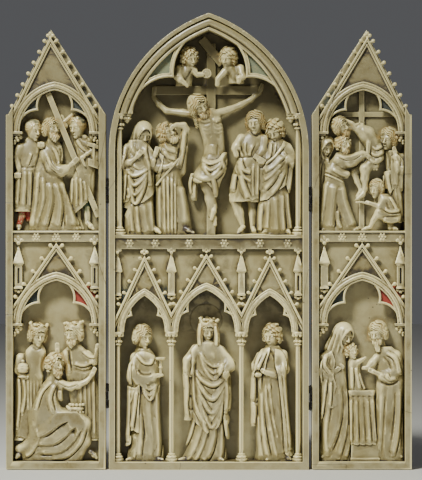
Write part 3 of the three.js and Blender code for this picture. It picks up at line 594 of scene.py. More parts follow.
def hand(block, wrist, knuckles, tips, size=1.0, spread=1.0, thumb=None):
    """A hand from the wrist through the knuckles to the fingertips, each (x, depth, height)."""
    a, b, c = [np.array(p, float) for p in (wrist, knuckles, tips)]
    way = (b - a) / max(np.linalg.norm(b - a), 1e-6)
    across = np.cross(way, (0, 1, 0))
    across /= max(np.linalg.norm(across), 1e-6)
    block.rod([(*a, 1.15 * size), (*(a * 0.3 + b * 0.7), 1.45 * size), (*b, 1.3 * size)], 0.5, 0.75)
    for i in (-1.5, -0.5, 0.5, 1.5):
        root = b + across * i * 0.72 * size
        tip = c + across * i * 0.72 * size * spread - way * abs(i) * 0.3
        block.rod([(*root, 0.62 * size), (*tip, 0.5 * size)], 0.2)
    if thumb is not None:
        t = np.array(thumb, float)
        block.rod([(*(a * 0.6 + b * 0.4), 0.75 * size), (*t, 0.55 * size)], 0.35)


def hands(block, *rows):
    for row in rows:
        hand(block, *row)


def foot(block, heel, toe, size=1.0, strap=False):
    middle = [h * 0.45 + t * 0.55 for h, t in zip(heel, toe)]
    block.rod([(*heel, 1.9 * size), (*middle, 1.75 * size), (*toe, 0.95 * size)], 0.6)
    if strap:
        block.stain("shoe", heel, toe, 2.2 * size)


def feet(block, *rows):
    for row in rows:
        foot(block, *row)


# ---------------------------------------------------------------- the three lower niches of the centre leaf
# A crowned queen, her weight on one hip, between two angels with candlesticks. The child that she carried and
# the right angel's candlestick broke off long ago, and only a scar of the child is left on her breast.
queen = Cloth(centre, -24, 21, 4, 92, 0.3, 24)
queen.body([
    (90, -0.8, 5, 15, 6), (85.5, -1.2, 9.2, 15.5, 8), (79, -0.4, 12, 15.5, 8.8), (70, 0.2, 12.6, 15.6, 9.2),
    (60, 0.6, 12.6, 15.6, 9.4), (46, 0.6, 12.2, 15.6, 9.2), (30, 0, 12, 15.4, 9.2), (14, -1.6, 13.6, 15, 9.6),
    (4, -3, 16.5, 15, 10)])
queen.sleeves(
    ((-9, 12, 84, 3.8), (-14.2, 10, 76, 3.9), (-15.3, 8.4, 70.4, 3.1)),
    ((8, 12, 83, 3.8), (14.5, 9.4, 74, 4), (10.6, 6.4, 69.5, 3.2)))
queen.folds(
    (2, 1.6, (-4, 33), (-7.5, 20), (-13, 9), (-18.5, 5)), (1.9, 1.9, (-0.5, 32), (-2.6, 22), (-6, 12), (-10.5, 5)),
    (2.3, 1.7, (4.5, 34), (3.5, 22), (0, 11), (-4.5, 5)), (1.8, 1.3, (9, 34), (9.4, 20), (8.2, 6)),
    (1.5, 1.4, (-9, 40), (-13, 24), (-19, 12), (-23, 8)), (0.8, -1.4, (1.8, 30), (0.2, 18), (-4, 8), (-7.6, 4.6)))
queen.sheet(
    1.5, (-12.5, 84), (-8, 88), (0, 89), (7, 88), (12, 83), (17, 77), (18.5, 70), (15, 62), (15.8, 52), (16.6, 44),
    (13.2, 40), (12.2, 35), (7.6, 33.5), (3, 28), (-0.5, 26.8), (-6, 29.5), (-11, 35), (-12.6, 42), (-12, 52),
    (-12.4, 62), (-11.6, 72))
queen.swags((-10.5, 70), (13.2, 66), 7.5, 5, 7.2, 1.35, 1.5, 0.55)
queen.swags((-7, 83), (11, 75), 3, 3, 3.4, 1.1, 1, 0.6)
queen.folds(
    (1.5, 1.6, (-10.8, 74), (-11, 60), (-9.6, 46), (-5, 36), (-1, 30)),
    (1.3, 1.3, (12.8, 64), (12, 52), (7, 42), (1, 33)), (1, -0.9, (-6.8, 86), (-4, 76), (3, 68), (9, 66)))
queen.sheet(
    2.6, (9.8, 68), (14, 69), (16.6, 62), (17, 50), (16.4, 42), (13, 39.6), (15.6, 34), (12.4, 30.8), (16, 26),
    (15.2, 20), (12.6, 20.6), (11.6, 28), (10.2, 36), (11.6, 44), (10.4, 56), soft=False)
queen.folds(
    (1.3, 1.2, (12.4, 66), (13.4, 52), (12.4, 40)), (1, 1, (14.8, 60), (15.6, 50), (14.6, 41)),
    (1.2, 1, (13.8, 34), (12.6, 30), (13.6, 22)))
queen.join()
queen = Cloth(centre, -24, -7, 30, 74, 3, 16)
queen.body([
    (73, -14.6, 3.2, 9, 3), (66, -15.4, 3.2, 9.8, 3.2), (55, -14.4, 3.6, 10.8, 3.4), (40, -13.4, 3.4, 12, 3.4),
    (34, -14.4, 3.2, 12.5, 3.2)])
queen.folds(
    (1.1, 1.3, (-15.8, 68), (-14.6, 56), (-15.6, 44), (-14.6, 36)), (1, -1.2, (-17.4, 58), (-14, 52), (-11, 50)),
    (0.9, -1.1, (-16.6, 47), (-13.4, 42), (-11, 42)))
queen.join()
for side in (-1, 1):
    veil = Cloth(centre, side * 5.6 - 4, side * 5.6 + 4, 84, 103, 3, 20)
    veil.body([
        (102, side * 4.6 - 0.6, 2.2, 12, 3), (94, side * 5.9 - 0.4, 2.2, 11, 3.4),
        (87.5, side * 5.6 - 0.2, 2.4, 10.4, 3.4), (85, side * 5, 1.6, 10.6, 3)])
    veil.fold(0.9, 0.9, (side * 5.2 - 0.6, 101), (side * 6.2 - 0.4, 93), (side * 5.8 - 0.2, 86.5))
    veil.join(0.4)
head(centre, (-0.8, 13.6, 97), 14.6, 6, 14, 8, "crown")
hands(centre,
    ((-15, 8, 71), (-14.2, 6.8, 67.2), (-12.6, 6.6, 65), 1.05),
    ((11.5, 6.4, 69.8), (8.4, 4.9, 72), (5.8, 4.6, 73.4), 1.05))
centre.ball((1.6, 6, 79.6), 2.4, 1.2, (1.3, 0.5, 1.1))
centre.ball((2.8, 5.2, 78.4), 1.1, 0.5, (1.2, 0.5, 0.8))
feet(centre, ((-14.5, 10, 7), (-20.8, 6, 6.6), 1.05, True), ((6, 8, 7), (10, 4.2, 6.6), 0.95))

# The engraved circle of light behind her head.
centre.cut((-15, 21, 92), (11, 25, 118), lambda x, d, z: np.hypot(np.hypot(x + 2, z - 104.6) - 11.4, d - 23.3) - 0.45)

angel = Cloth(centre, -61, -31, 4, 86, 2.5, 24)
angel.body([
    (84.5, -46, 3.6, 15, 4.6), (81, -46, 7.4, 15, 6.6), (76, -45.4, 9.8, 15, 8.2), (66, -45.2, 10.6, 14.6, 8.8),
    (52, -44.6, 10.4, 14.6, 9), (32, -44.4, 11, 14.6, 9.4), (14, -44.4, 12.4, 14.8, 9.6), (4, -44.8, 13.6, 15, 9.8)])
angel.sleeve([(-51.5, 12, 78, 4), (-51.8, 9, 66, 5), (-46, 7.4, 62.4, 4), (-40.6, 6.6, 64.4, 2.9)])
angel.folds(
    (1.7, 1.5, (-36.4, 60), (-36.4, 40), (-35.2, 18), (-36, 7)),
    (2.5, 1.5, (-41.6, 58), (-41.6, 40), (-39.6, 22), (-41, 7)), (2.2, 1.3, (-38.6, 40), (-36.8, 24), (-38.2, 12)),
    (1, -1.6, (-46.4, 60), (-46.4, 42), (-44.6, 22), (-45, 6)), (1.7, 1.4, (-48.2, 40), (-47.6, 24), (-48.8, 8)),
    (1.1, 1, (-51.8, 24), (-50.4, 16), (-52.8, 7)), (0.9, -0.9, (-54.4, 24), (-50.4, 26.4), (-48.6, 23)))
angel.sheet(
    1.3, (-54, 78), (-49, 82.5), (-43, 82), (-38, 79), (-35.4, 72), (-34.6, 62), (-34.8, 55), (-37.6, 50.6),
    (-41, 49.6), (-45.2, 53), (-47.6, 58.4), (-51, 56.2), (-56.6, 57.4), (-57.2, 66))
angel.swags((-46.8, 60), (-36.2, 60), 4, 3, 3, 1.15, 1.3, 0.52)
angel.folds(
    (0.9, -1.2, (-50, 70.5), (-47, 67), (-42.6, 66.4), (-39.8, 67.4)),
    (1, 1, (-50.6, 80.5), (-45.4, 74.6), (-40.6, 74.2), (-38.6, 78)),
    (1.2, 1.1, (-55.4, 76), (-55.8, 66), (-55, 58.4)), (1.1, 1, (-52.8, 74), (-52, 66), (-49.8, 59)))
angel.sheet(
    2.2, (-57.6, 58), (-51.6, 57), (-48.6, 58.6), (-49.2, 40), (-48.8, 27), (-50.6, 26), (-54.4, 27), (-55, 18),
    (-59.4, 16.6), (-59, 30), (-57.6, 44))
angel.folds(
    (1.3, 1.5, (-56, 57), (-56, 42), (-57.2, 20)), (1.1, 1.3, (-52.8, 56), (-54, 50), (-55.8, 46)),
    (1.3, 1.4, (-50.6, 56), (-52.2, 42), (-54, 28)))
angel.join()
head(centre, (-46.8, 13.6, 92.6), 15, 4, 38, 6, "waves")
hands(centre,
    ((-41, 6.2, 64.6), (-37.6, 5, 65.6), (-34.4, 5.2, 66.2), 1),
    ((-37, 9, 63.6), (-34.8, 7.4, 65.6), (-32.4, 6.6, 66.6), 0.9))
stand = [(65, 1.5), (66, 1.5), (66.6, 0.9), (70.5, 0.8), (71, 1.4), (71.8, 1.4), (72.4, 0.9), (76.2, 1),
         (77.2, 3.6), (78.6, 3.7), (78.8, 0.4)]
centre.add((-38.6, 2, 64), (-29.4, 12, 80), lambda x, d, z: upright(x, d, z, (-33.9, 6.8), stand), 0.25)
feet(centre, ((-38, 9, 7.2), (-32.6, 5.2, 6.8), 1, True), ((-53, 9, 7), (-57.6, 6, 6.6), 0.95))

angel = Cloth(centre, 30, 62, 4, 88, 2.5, 24)
angel.body([
    (86.5, 45, 3.6, 15, 4.6), (83.5, 45, 7.4, 15, 6.6), (78, 44.8, 10.4, 15, 8.2), (66, 44.6, 10.6, 14.6, 8.8),
    (48, 44.4, 10.2, 14.6, 9), (30, 45, 11.4, 14.6, 9.4), (14, 46, 12.8, 14.8, 9.6), (4, 46, 14.2, 15, 9.8)])
angel.sleeves(
    ((52, 12, 80, 3.8), (53, 9.4, 70, 3.6), (46, 6.8, 66.6, 3), (41.4, 5.6, 67.6, 2.3)),
    ((36.6, 12, 79, 3.6), (33, 9, 72, 3.4), (34, 7, 66.8, 2.6)))
angel.folds(
    (1.5, 1.5, (39.6, 62), (41, 44), (44.6, 24), (48, 7)), (1.3, 1.3, (41.8, 62), (43.4, 50), (45.6, 34), (49.4, 18)),
    (1.7, 1.5, (37.2, 58), (37.4, 40), (39, 22), (42, 7)), (1.6, 1.3, (34.6, 40), (35.6, 22), (37.8, 7)),
    (2.8, 1.2, (48.2, 60), (49.4, 40), (51, 18), (52, 10)), (0.9, -1.4, (44.8, 54), (46.6, 36), (50.2, 12)),
    (0.9, -1.3, (43.4, 84), (46.8, 76), (47.6, 69)))
angel.sheet(
    1.6, (46.6, 84.6), (51, 83), (54.4, 77), (55, 66), (56, 54), (58.8, 34), (60.6, 12), (53.6, 11), (52.6, 30),
    (51.4, 46), (50.2, 56), (48.6, 66), (46.4, 74))
angel.folds(
    (1.2, 1.2, (52, 78), (53.4, 60), (55.4, 38), (57.6, 14)),
    (1, 1, (50.2, 70), (51.8, 50), (54, 28), (54.8, 13)), (0.9, -1.2, (53.8, 46), (56.6, 26), (58.6, 13)))
angel.sheet(1.6, (37, 84), (43, 85), (40.6, 76), (38.4, 67.4), (34.6, 70.4), (30.8, 68), (31, 62), (33.4, 77))
angel.folds((0.9, 1, (40.4, 83), (37.6, 76), (34.6, 70)), (0.9, 0.9, (37.6, 82), (34.4, 76), (32.2, 69)))
angel.join()
angel = Cloth(centre, 28, 41, 26, 69, 3, 18)
angel.body([
    (68, 33.8, 3.4, 8.4, 3), (60, 33.8, 4, 10.4, 3.2), (47, 33.8, 4.4, 12.6, 3.4), (38, 33.8, 4.6, 13.4, 3.6),
    (29.5, 33.8, 4.4, 14, 3.4)])
angel.folds(
    (1.3, 1.5, (31.6, 66), (31.8, 56), (31.4, 48)), (1, 1.2, (36.2, 66), (36.8, 58), (37.4, 48)),
    (1, -1.6, (34, 64), (33.8, 56), (34.6, 48.4)), (0.8, -1.3, (30, 48), (33.4, 46.6), (35.4, 48), (38, 46.4)),
    (1.3, 1.3, (32, 45), (32.6, 38), (32, 31)), (1.4, 1.4, (36.6, 45), (37.6, 36), (36, 33), (34.8, 31.6)))
angel.join()
head(centre, (44.8, 13.6, 93.4), 15, -3, -30, 6, "curls")
hand(centre, (42, 5.2, 67.4), (39.4, 4.4, 68.2), (36.8, 4.6, 69.8), 1)
centre.ball((34.6, 5.4, 66.4), 2.1, 0.6, (1.3, 0.9, 0.8))
feet(centre, ((47, 9, 7.2), (40.6, 5, 6.8), 1), ((54, 9, 8.4), (57.6, 6, 6.8), 1, True))


# ---------------------------------------------------------------- the upper scene of the centre leaf
# The crucified figure on a tall cross with a name board, two angels above it who reach out of the wall, and two
# mourners on each side. Several hands broke off long ago and stay as stumps.
centre.plank((-40, 19, 262), (38, 25, 271), (-1, 267), (38, 3.1), 20.4, 24.5, 0.2)
centre.plank((-2.2, 18, 163), (6, 25, 301), (1.6, 232), (3.1, 68), 20, 24.5, 0.2)
centre.plank((-9, 16, 280), (14, 25, 306), (2.2, 294.4), (11.5, 3), 18.8, 24.5, 0.2, (0.64, -0.77))

body = Cloth(centre, -14, 16, 215, 256, 6, 24.5)
body.body([
    (254, -1, 4, 16.5, 3.5), (250.5, -1.2, 9.5, 16, 4.4), (246, -0.4, 9.4, 15.4, 5.4), (240, 1.6, 8.6, 15.2, 5.8),
    (232, 3.2, 7.6, 16, 5.2), (225, 4, 7.4, 16, 5.2), (216, 4.2, 8.6, 15.6, 6)], 2.2)
for rib in range(4):
    high = 243.4 - rib * 2.7
    body.folds(
        (0.75, -0.4, (-6 + rib * 1.1, high + 0.2), (-2 + rib * 0.6, high - 0.9), (1.2 + rib * 0.2, high + 0.7)),
        (0.75, -0.4, (10 - rib * 0.1, high + 0.8), (6.6, high - 0.4), (3.4 + rib * 0.1, high + 0.9)))
body.folds(
    (1.5, 0.5, (-6, 246), (-2, 244.4), (1, 245.6)), (1.5, 0.5, (9, 247), (5.6, 245), (2.6, 245.8)),
    (0.8, -0.5, (2, 248), (2.4, 240), (3, 232)), (0.9, -0.5, (-1.4, 232), (2.8, 235.6), (8.4, 232.4)),
    (2.4, 0.7, (3, 228.5), (3.2, 225), (3, 221)))
body.join(0.4)
for x0 in (-2.8, 5.6):
    centre.ball((x0, 10, 244.2), 0.55, 0.3)
centre.cut((1, 7, 221), (5, 14, 226),
           lambda x, d, z: np.hypot(np.hypot(x - 2.8, z - 223.6), (d - 11.2) * 0.6) - 0.55, 0.3)
centre.rods(
    (1.3, (-7, 16, 249.5, 3), (-18.5, 17.6, 251, 2.5), (-29.8, 18.6, 252.2, 2.15), (-35.4, 19.6, 257, 1.9),
     (-39.3, 20.4, 262.2, 1.35)),
    (1.3, (6.5, 16, 250.5, 3), (14.5, 17.6, 253, 2.5), (22.6, 18.6, 256.4, 2.15), (29.5, 19.6, 260.2, 1.9),
     (35.2, 20.4, 264.6, 1.35)))
hands(centre,
    ((-39.3, 20.2, 262.4), (-38.9, 19.8, 265.8), (-38.3, 19.6, 269.6), 0.95),
    ((35.4, 20.2, 264.8), (37, 19.8, 268), (37.8, 19.6, 271.6), 0.95))
head(centre, (-7.2, 11.8, 255.2), 15.2, -30, 22, 22, "long", 0.16)

centre.rods(
    (2, (0.5, 14.6, 215, 6.2), (-2.8, 11.6, 205.5, 5.6), (-1.4, 13.6, 198.5, 3.7), (1.2, 15.6, 191, 2.9),
     (3.6, 16.6, 184, 2.4)),
    (2, (6.4, 15, 215, 6.2), (2.4, 12.6, 203, 5.4), (1, 16, 190, 3.4), (1.8, 17.6, 179, 2.4)),
    (0.8, (3.6, 16.4, 185.5, 2.2), (3.4, 13.8, 181, 1.9), (1.8, 12.4, 175.6, 1.3)),
    (0.8, (2, 17.4, 181, 2.2), (3.8, 15.4, 176.4, 1.9), (4.4, 14, 171.6, 1.3)))
cloth = Cloth(centre, -18, 16, 184, 226, 4, 24.5)
cloth.body([
    (222, 4.6, 8, 15.6, 6.2), (216, 4.4, 9.2, 15.2, 7.2), (209, 1.4, 11.2, 14.6, 8.4), (203, -0.8, 10.6, 14, 8.6),
    (198, -0.4, 7.6, 15, 7.2), (192, 2, 5, 17, 4.6)], 2.2)
cloth.edge, cloth.lift = cloth.form[:, 0, :] * 0 + 9, 0
cloth.sheet(
    0.6, (-4.6, 220), (1, 216.6), (6, 217.4), (10, 222), (12.6, 224), (13, 215), (11.6, 208), (8.4, 202), (6.6, 194),
    (4.6, 190), (2.6, 196), (-2, 201.4), (-8.4, 201), (-12.2, 203.8), (-9.4, 210), (-6.6, 216))
cloth.swags((-5.4, 218), (11.4, 219.5), 3.6, 3, 3.3, 1.15, 1.3, 0.42)
cloth.folds(
    (1.1, 1.3, (12, 222), (9.6, 217), (11.4, 211)), (1.5, 1, (-9.6, 207), (-2.6, 203.6), (4.6, 205), (10, 210.5)),
    (1.2, 1.1, (-2, 207), (3, 203), (5, 197), (5.4, 192)),
    (1, -0.9, (-8, 204), (-3.4, 206.8), (2, 209), (6, 210.6)))
cloth.join(0.3)
tail = Cloth(centre, -16, -5, 187, 209, 8, 24.5)
tail.body([
    (208, -9.6, 3.2, 14.6, 2.6), (201, -11, 3.2, 16, 2.6), (191, -10.6, 2.6, 17.6, 2.4), (188.5, -10.2, 1.6, 18, 2)])
tail.folds((0.9, 1.2, (-11.8, 206), (-13, 199), (-12.6, 193)), (0.9, 1.2, (-8.8, 204), (-9.6, 197), (-9.8, 189.6)))
tail.join(0.3)

# The two angels at the top, who lean out over the cross arms.
for side, middle, low in ((-1, -17, 270), (1, 18.6, 271.5)):
    angel = Cloth(centre, middle - 10, middle + 9, low - 1, 291, 6, 24.5)
    angel.body([
        (288, side * 14.6, 2.6, 17.5, 3.4), (284, middle - side * 1.6, 4.6, 17.5, 5), (279, middle, 6.2, 17.5, 6),
        (low, middle + side * 0.8, 5.6, 18.5, 5)])
    angel.sleeves(
        ((middle + side * 3.6, 14, 282, 3), (middle + side * 5, 11.6, 276, 2.5),
         (middle + side * 3.2, 10.4, low + 3.2, 2.1)),
        ((middle - side * 4.6, 14, 282.4, 3), (middle - side * 9.6, 12.6, 277.4, 2.3)))
    angel.folds(
        (1.6, 0.6, (middle - side * 4, 284), (middle - side * 1, 278), (middle + side * 2, 273)),
        (0.7, -0.8, (middle + side * 1.6, low + 5.2), (middle + side * 4.6, low + 5.6)))
    angel.join(0.5)
    head(centre, (side * 13.6, 13.4, 289.4), 13.6, side * 6, -side * 28, 16, "curls")
centre.rods(
    (0.4, (-20.2, 10.4, 274, 1.9), (-17.4, 9.8, 271.6, 1.7), (-15.2, 9.6, 269.4, 1.2)),
    (0.4, (21.9, 10.4, 275.6, 1.9), (21.2, 9.8, 272.4, 1.8)), (0.5, (-8, 12.6, 277.6, 2.1), (-4.4, 11.8, 277.6, 1.7)),
    (0.5, (10.6, 12.8, 279.4, 2.2), (6.6, 12, 274.6, 2.1)), (0.3, (6.4, 12, 274, 1.9), (6.1, 11.8, 270.4, 1.8)))
centre.add((-6, 9, 274), (3, 16, 283), lambda x, d, z: slab(np.hypot(x + 1.6, z - 278.4) - 3.4, d, 11.4, 20), 0.3)
centre.cut((-6, 9, 274), (3, 13, 283),
           lambda x, d, z: np.hypot(np.hypot(x + 1.6, z - 278.4) - 2.2, d - 11.4) - 0.35, 0.2)

# The mourning mother, wrapped in mantle and veil.
mother = Cloth(centre, -65, -33, 163, 232, 2.5, 24)
mother.body([
    (230, -49, 5.4, 15, 5.6), (225.5, -50.4, 9.2, 15, 7.4), (217, -50, 11.2, 15, 8.6), (206, -49.4, 10.4, 14.8, 9),
    (192, -48.6, 9.8, 14.8, 9), (176, -48, 10.8, 14.8, 9.2), (163, -47, 12, 15, 9.6)])
mother.sleeves(((-58, 12, 224, 3.6), (-60, 9.6, 215, 3.2)), ((-42, 12, 222, 3.4), (-39.6, 9, 214.6, 2.8)))
mother.folds(
    (1.7, 1.5, (-54, 188), (-54.4, 176), (-53.6, 166)), (1.4, 1.6, (-50.6, 187), (-50, 176), (-48.4, 165)),
    (2.8, 1.2, (-46, 187), (-44.6, 176), (-42.4, 166)), (1.6, 1.3, (-41, 189), (-40, 176), (-38.8, 166)),
    (1, -1.5, (-48.6, 185), (-47.8, 174), (-46.2, 165)))
mother.sheet(
    1.5, (-60.6, 226), (-56, 231), (-46, 231), (-40.6, 226), (-37.4, 218), (-38.6, 206), (-38.6, 194.4),
    (-42.4, 190.2), (-46, 187.6), (-50, 186.8), (-53.6, 188), (-56, 191.4), (-59.6, 203), (-61.4, 214))
mother.folds(
    (1.3, 0.7, (-55.6, 232), (-53.4, 224), (-47.4, 217.6)), (0.9, -0.7, (-51.4, 231), (-50.4, 225), (-46, 220.6)),
    (1, 0.7, (-53.6, 213.6), (-48, 210.6), (-44, 212.6)))
mother.swags((-57.6, 210), (-41.6, 212), 4.2, 4, 4.9, 1.25, 1.5, 0.34)
mother.folds(
    (1.2, 1.2, (-44.6, 228), (-44, 220), (-42, 212), (-40.6, 200)),
    (1.1, -1.1, (-55.6, 228), (-57.4, 220.6), (-55.4, 213.4)), (1.2, 1.1, (-58.8, 222), (-60.4, 213), (-58.4, 204)))
mother.sheet(
    2.4, (-59.4, 211), (-56.4, 210), (-56, 200), (-54.2, 196), (-53.6, 190), (-56.6, 188.2), (-61.2, 186.2),
    (-60.8, 192), (-60.6, 200), soft=False)
mother.folds((0.9, 1.1, (-58.4, 208), (-58.8, 198), (-60, 188)), (0.9, 1.1, (-57.2, 198), (-55.6, 193), (-56.4, 190)))
mother.sheet(
    1.8, (-60.4, 187), (-55, 189), (-55, 180), (-57.2, 176), (-59.6, 178), (-57, 183), (-60.6, 184), soft=False)
mother.sheet(1.4, (-58.6, 178), (-55.6, 178), (-54.8, 172), (-56.4, 164), (-59.6, 164), (-60.2, 172), soft=False)
mother.join()
mother = Cloth(centre, -66, -56, 200, 222, 2.5, 16)
mother.body([
    (221, -60.4, 2.4, 9.6, 3), (214, -61.2, 2.6, 10, 3), (206, -61, 2.2, 11, 2.8), (202, -60.6, 1.4, 11.4, 2)])
mother.fold(0.8, 0.9, (-61.6, 218), (-62, 210), (-61, 203))
mother.join(0.5)
head(centre, (-46.4, 13.2, 236), 15, 8, 22, 20, "veil")
centre.rods(
    (0.5, (-61, 8.4, 213.6, 2.9), (-55.6, 5.8, 215.6, 2.6), (-52.6, 4.6, 217.6, 1.5)),
    (0.5, (-40.4, 8.4, 212.6, 2.6), (-39, 6.4, 216.6, 2)))
hands(centre,
    ((-52, 4, 218), (-49.6, 3.1, 220.4), (-47, 3.4, 223.4), 1.05, 1.35, (-50.6, 3.6, 222.6)),
    ((-38.4, 6.8, 218.6), (-37.4, 6.2, 221.8), (-36, 6.6, 226.4), 1),
    ((-37.4, 8.2, 218.6), (-36.4, 7.8, 221.6), (-34.6, 8.4, 226), 0.95))

# The lance bearer, bent under the cross with one arm over the brow.
bearer = Cloth(centre, -41, -8, 163, 246, 2.5, 24)
bearer.body([
    (229, -28.4, 5.6, 15, 5), (224, -28.6, 8.8, 15, 7.4), (214, -28.6, 9.2, 15, 8.8), (203, -28.2, 8.6, 15, 8.8),
    (190, -26.4, 10.6, 15, 9), (176, -24.6, 12.4, 15, 9.2), (163, -24, 12.2, 15, 9.2)])
bearer.sleeves(
    ((-20, 13, 227, 3.6), (-15.8, 12, 238.4, 2.4), (-17.6, 10.6, 241.6, 2.2), (-23, 9.6, 241.8, 1.9)),
    ((-17.4, 13, 240, 1.9), (-18.2, 13.4, 226, 3.2), (-20.6, 14.6, 210, 4.4)),
    ((-36, 12, 221, 3.2), (-36.4, 9, 212, 3), (-30.4, 6.4, 212.2, 2.2)))
bearer.folds(
    (1.1, 1.6, (-31.6, 206), (-31.2, 188), (-30.6, 165)), (1.1, 1.8, (-28.6, 207), (-28.4, 188), (-28, 165)),
    (1.1, 1.8, (-25.8, 206), (-25.8, 188), (-25.6, 165)), (1, 1.5, (-23.6, 203), (-23.4, 186), (-23.4, 166)),
    (3.2, 1.6, (-19.4, 200), (-17.6, 186), (-16.6, 172)), (1.9, 1.2, (-35, 200), (-34.6, 184), (-35, 167)),
    (1, 1.1, (-16.2, 238), (-17.4, 226), (-20, 212)), (0.8, -1, (-19.2, 236), (-21, 224), (-23.6, 212)),
    (0.8, -0.7, (-31, 221), (-29, 216), (-24.6, 214.4)), (1.4, 0.7, (-33, 230), (-27.6, 224.6), (-23, 223)),
    (1.2, 0.7, (-32.4, 224), (-27.8, 219), (-23.4, 217.4)), (0.9, 1, (-36.4, 208), (-38, 202), (-36.6, 194)))
bearer.sheet(
    0.9, (-37, 224), (-33, 216), (-36.6, 206), (-38.6, 196), (-35.6, 200), (-33.2, 210), (-31.6, 220), soft=False)
bearer.join()
head(centre, (-29.2, 13, 235.6), 15, -26, 34, -6, "curls", 0.05)
hands(centre,
    ((-22.6, 9.4, 241.8), (-25.2, 7.8, 241), (-27.2, 7, 238.8), 0.95),
    ((-30.6, 6.2, 212.4), (-27.6, 5.2, 213), (-25, 5.4, 214.4), 1))
centre.rod([(-21.4, 4.9, 217.6, 0.8), (-29, 5.8, 208.6, 0.85), (-36.6, 7.4, 199.8, 0.85)], 0.2)
feet(centre, ((-18.4, 9, 170), (-11, 5.2, 166.2), 1.05, True), ((-38.6, 9, 169.4), (-34.2, 5, 166), 1))

# The bucket bearer in belted tunic, his right hand gone.
tunic = Cloth(centre, 12, 44, 186, 241, 2.5, 24)
tunic.body([
    (239, 32.6, 3.6, 15.5, 4), (234.5, 31, 7.8, 15.5, 6), (228, 29.6, 9.4, 15.5, 7.6), (219, 28, 7.8, 15.5, 7.6),
    (210, 27, 9.6, 15.5, 8.2), (198, 26.4, 11.2, 15.5, 8.4), (188, 26, 11.6, 16, 8)])
tunic.sleeves(
    ((23, 13, 232.6, 3.4), (19.6, 10.8, 227, 3.1), (18.4, 9.8, 225, 2.7)),
    ((39, 13, 232, 3.4), (38, 11, 224, 3), (34.6, 8.4, 219, 2.6)))
tunic.folds(
    (0.8, -1, (20.6, 218.8), (25, 217.6), (30, 219.6)), (0.9, 0.9, (21.6, 227), (22.6, 222.4), (24, 219.6)),
    (0.9, 0.8, (26, 230), (25.4, 224), (26.6, 220)), (0.9, 0.9, (31.6, 228), (29.4, 223), (28.8, 220)),
    (0.8, -0.7, (28.6, 237.6), (32.4, 234.2), (36.6, 236.4)), (1.3, 1.5, (21.6, 217), (24.4, 210), (29.6, 207.4)),
    (1.2, 1.4, (21.4, 215), (23.6, 206), (29.8, 200.6)), (1.5, 1.3, (19.4, 208), (18, 202), (17.2, 196)),
    (1.6, 1.4, (23, 204), (25, 196), (28, 190)))
tunic.sheet(
    0.9, (18, 211), (21.4, 204), (25.8, 190.4), (27.6, 194), (29.8, 188.6), (33, 190), (35, 205), (31, 219),
    (20.4, 218.4), soft=False)
tunic.folds(
    (1.3, 1.5, (21.8, 217), (24.6, 210), (29.8, 208)), (1.1, 1.3, (21.6, 215), (24, 206), (30, 201.6)),
    (1.5, 1.4, (22.4, 208), (25.2, 198), (28.4, 190)), (0.9, -1.2, (24, 200), (27, 194), (27.6, 192)))
tunic.join()
centre.rod([(18.4, 9.8, 225.4, 2.2), (19.4, 8.6, 220.6, 1.9)], 0.3)
head(centre, (32.8, 12.8, 243.6), 15, -5, -16, 4, "waves")
centre.rods(
    (1, (19, 15.5, 196, 4.4), (18.6, 14.4, 190, 3.9), (21.4, 14.6, 180, 3.3), (23.4, 15, 172.5, 2)),
    (0.4, (15.6, 13.6, 192.6, 1.5), (19, 11.2, 190.6, 1.5), (22.6, 13.6, 188.8, 1.4)),
    (1, (31, 17, 192, 4), (31.4, 17, 180, 3.2), (31.4, 16.6, 170, 2.2)))
feet(centre, ((24, 13, 170), (20.6, 8.6, 165.8), 1, True), ((31.4, 13.6, 169), (32.4, 8.4, 165.8), 0.95))

# The disciple with a book, in tunic and wide mantle.
disciple = Cloth(centre, 29, 66, 163, 234, 2.5, 24)
disciple.body([
    (232, 47.6, 4.4, 15, 4.6), (227.5, 48.6, 8.8, 15, 7), (219, 48.4, 10.8, 15, 8.6), (208, 47, 10.6, 14.8, 9),
    (194, 46, 10.6, 14.8, 9), (178, 46, 11.6, 14.8, 9.2), (163, 47, 13.2, 15, 9.4)])
disciple.sleeves(
    ((56.4, 12.6, 224, 3.6), (58.4, 10.4, 217.4, 3.4), (55, 7.4, 217.6, 2.4)),
    ((40, 12, 222, 3.4), (38.4, 9, 214.6, 3.4), (35.4, 7, 215, 2.4)))
disciple.folds(
    (1.6, 1.5, (37.6, 188), (36.6, 178), (36, 166)), (1.9, 1.3, (42, 190), (41.6, 178), (40.8, 168)),
    (2.6, 1.4, (46.6, 192), (47.2, 180), (47.8, 166)), (1.5, 1.5, (52, 194), (52.2, 180), (53, 166)),
    (1.4, 1.4, (55.4, 196), (56.4, 182), (58.6, 167)), (0.9, -1.5, (50, 190), (50.2, 178), (50.8, 166)),
    (0.9, -1.3, (44.4, 188), (44.4, 178), (44.2, 167)), (0.9, 0.8, (44, 230), (43.6, 223), (42, 217)),
    (0.8, 0.7, (47.4, 230), (46.6, 224), (45.4, 219)))
disciple.sheet(
    1.5, (52.6, 231), (57.4, 229), (61, 222), (61.2, 213), (59, 202), (56.4, 193), (55, 200), (50.6, 197),
    (47.2, 194.6), (41, 189.4), (36, 188.4), (36.6, 200), (37.6, 211), (41, 214.6), (47.4, 220.4), (51, 226),
    soft=False)
disciple.folds(
    (1.2, 1.3, (39, 213.6), (46, 219), (52.6, 227)), (1.5, 1.5, (38.6, 208.4), (46, 212.4), (52.6, 220)),
    (1.4, 1.3, (38.2, 202.6), (45, 207), (51.4, 215)), (1.6, 1.2, (39, 196), (44.6, 202), (50.6, 211)),
    (1.2, 1.1, (44, 193), (49, 199), (53, 208)), (1.2, 1.3, (59.4, 217), (58.6, 206), (56.8, 195)),
    (0.9, -1.1, (56.6, 214), (56, 206), (55, 200)))
disciple.join()
head(centre, (46.8, 12.8, 237.6), 15, -10, -26, 18, "curls")
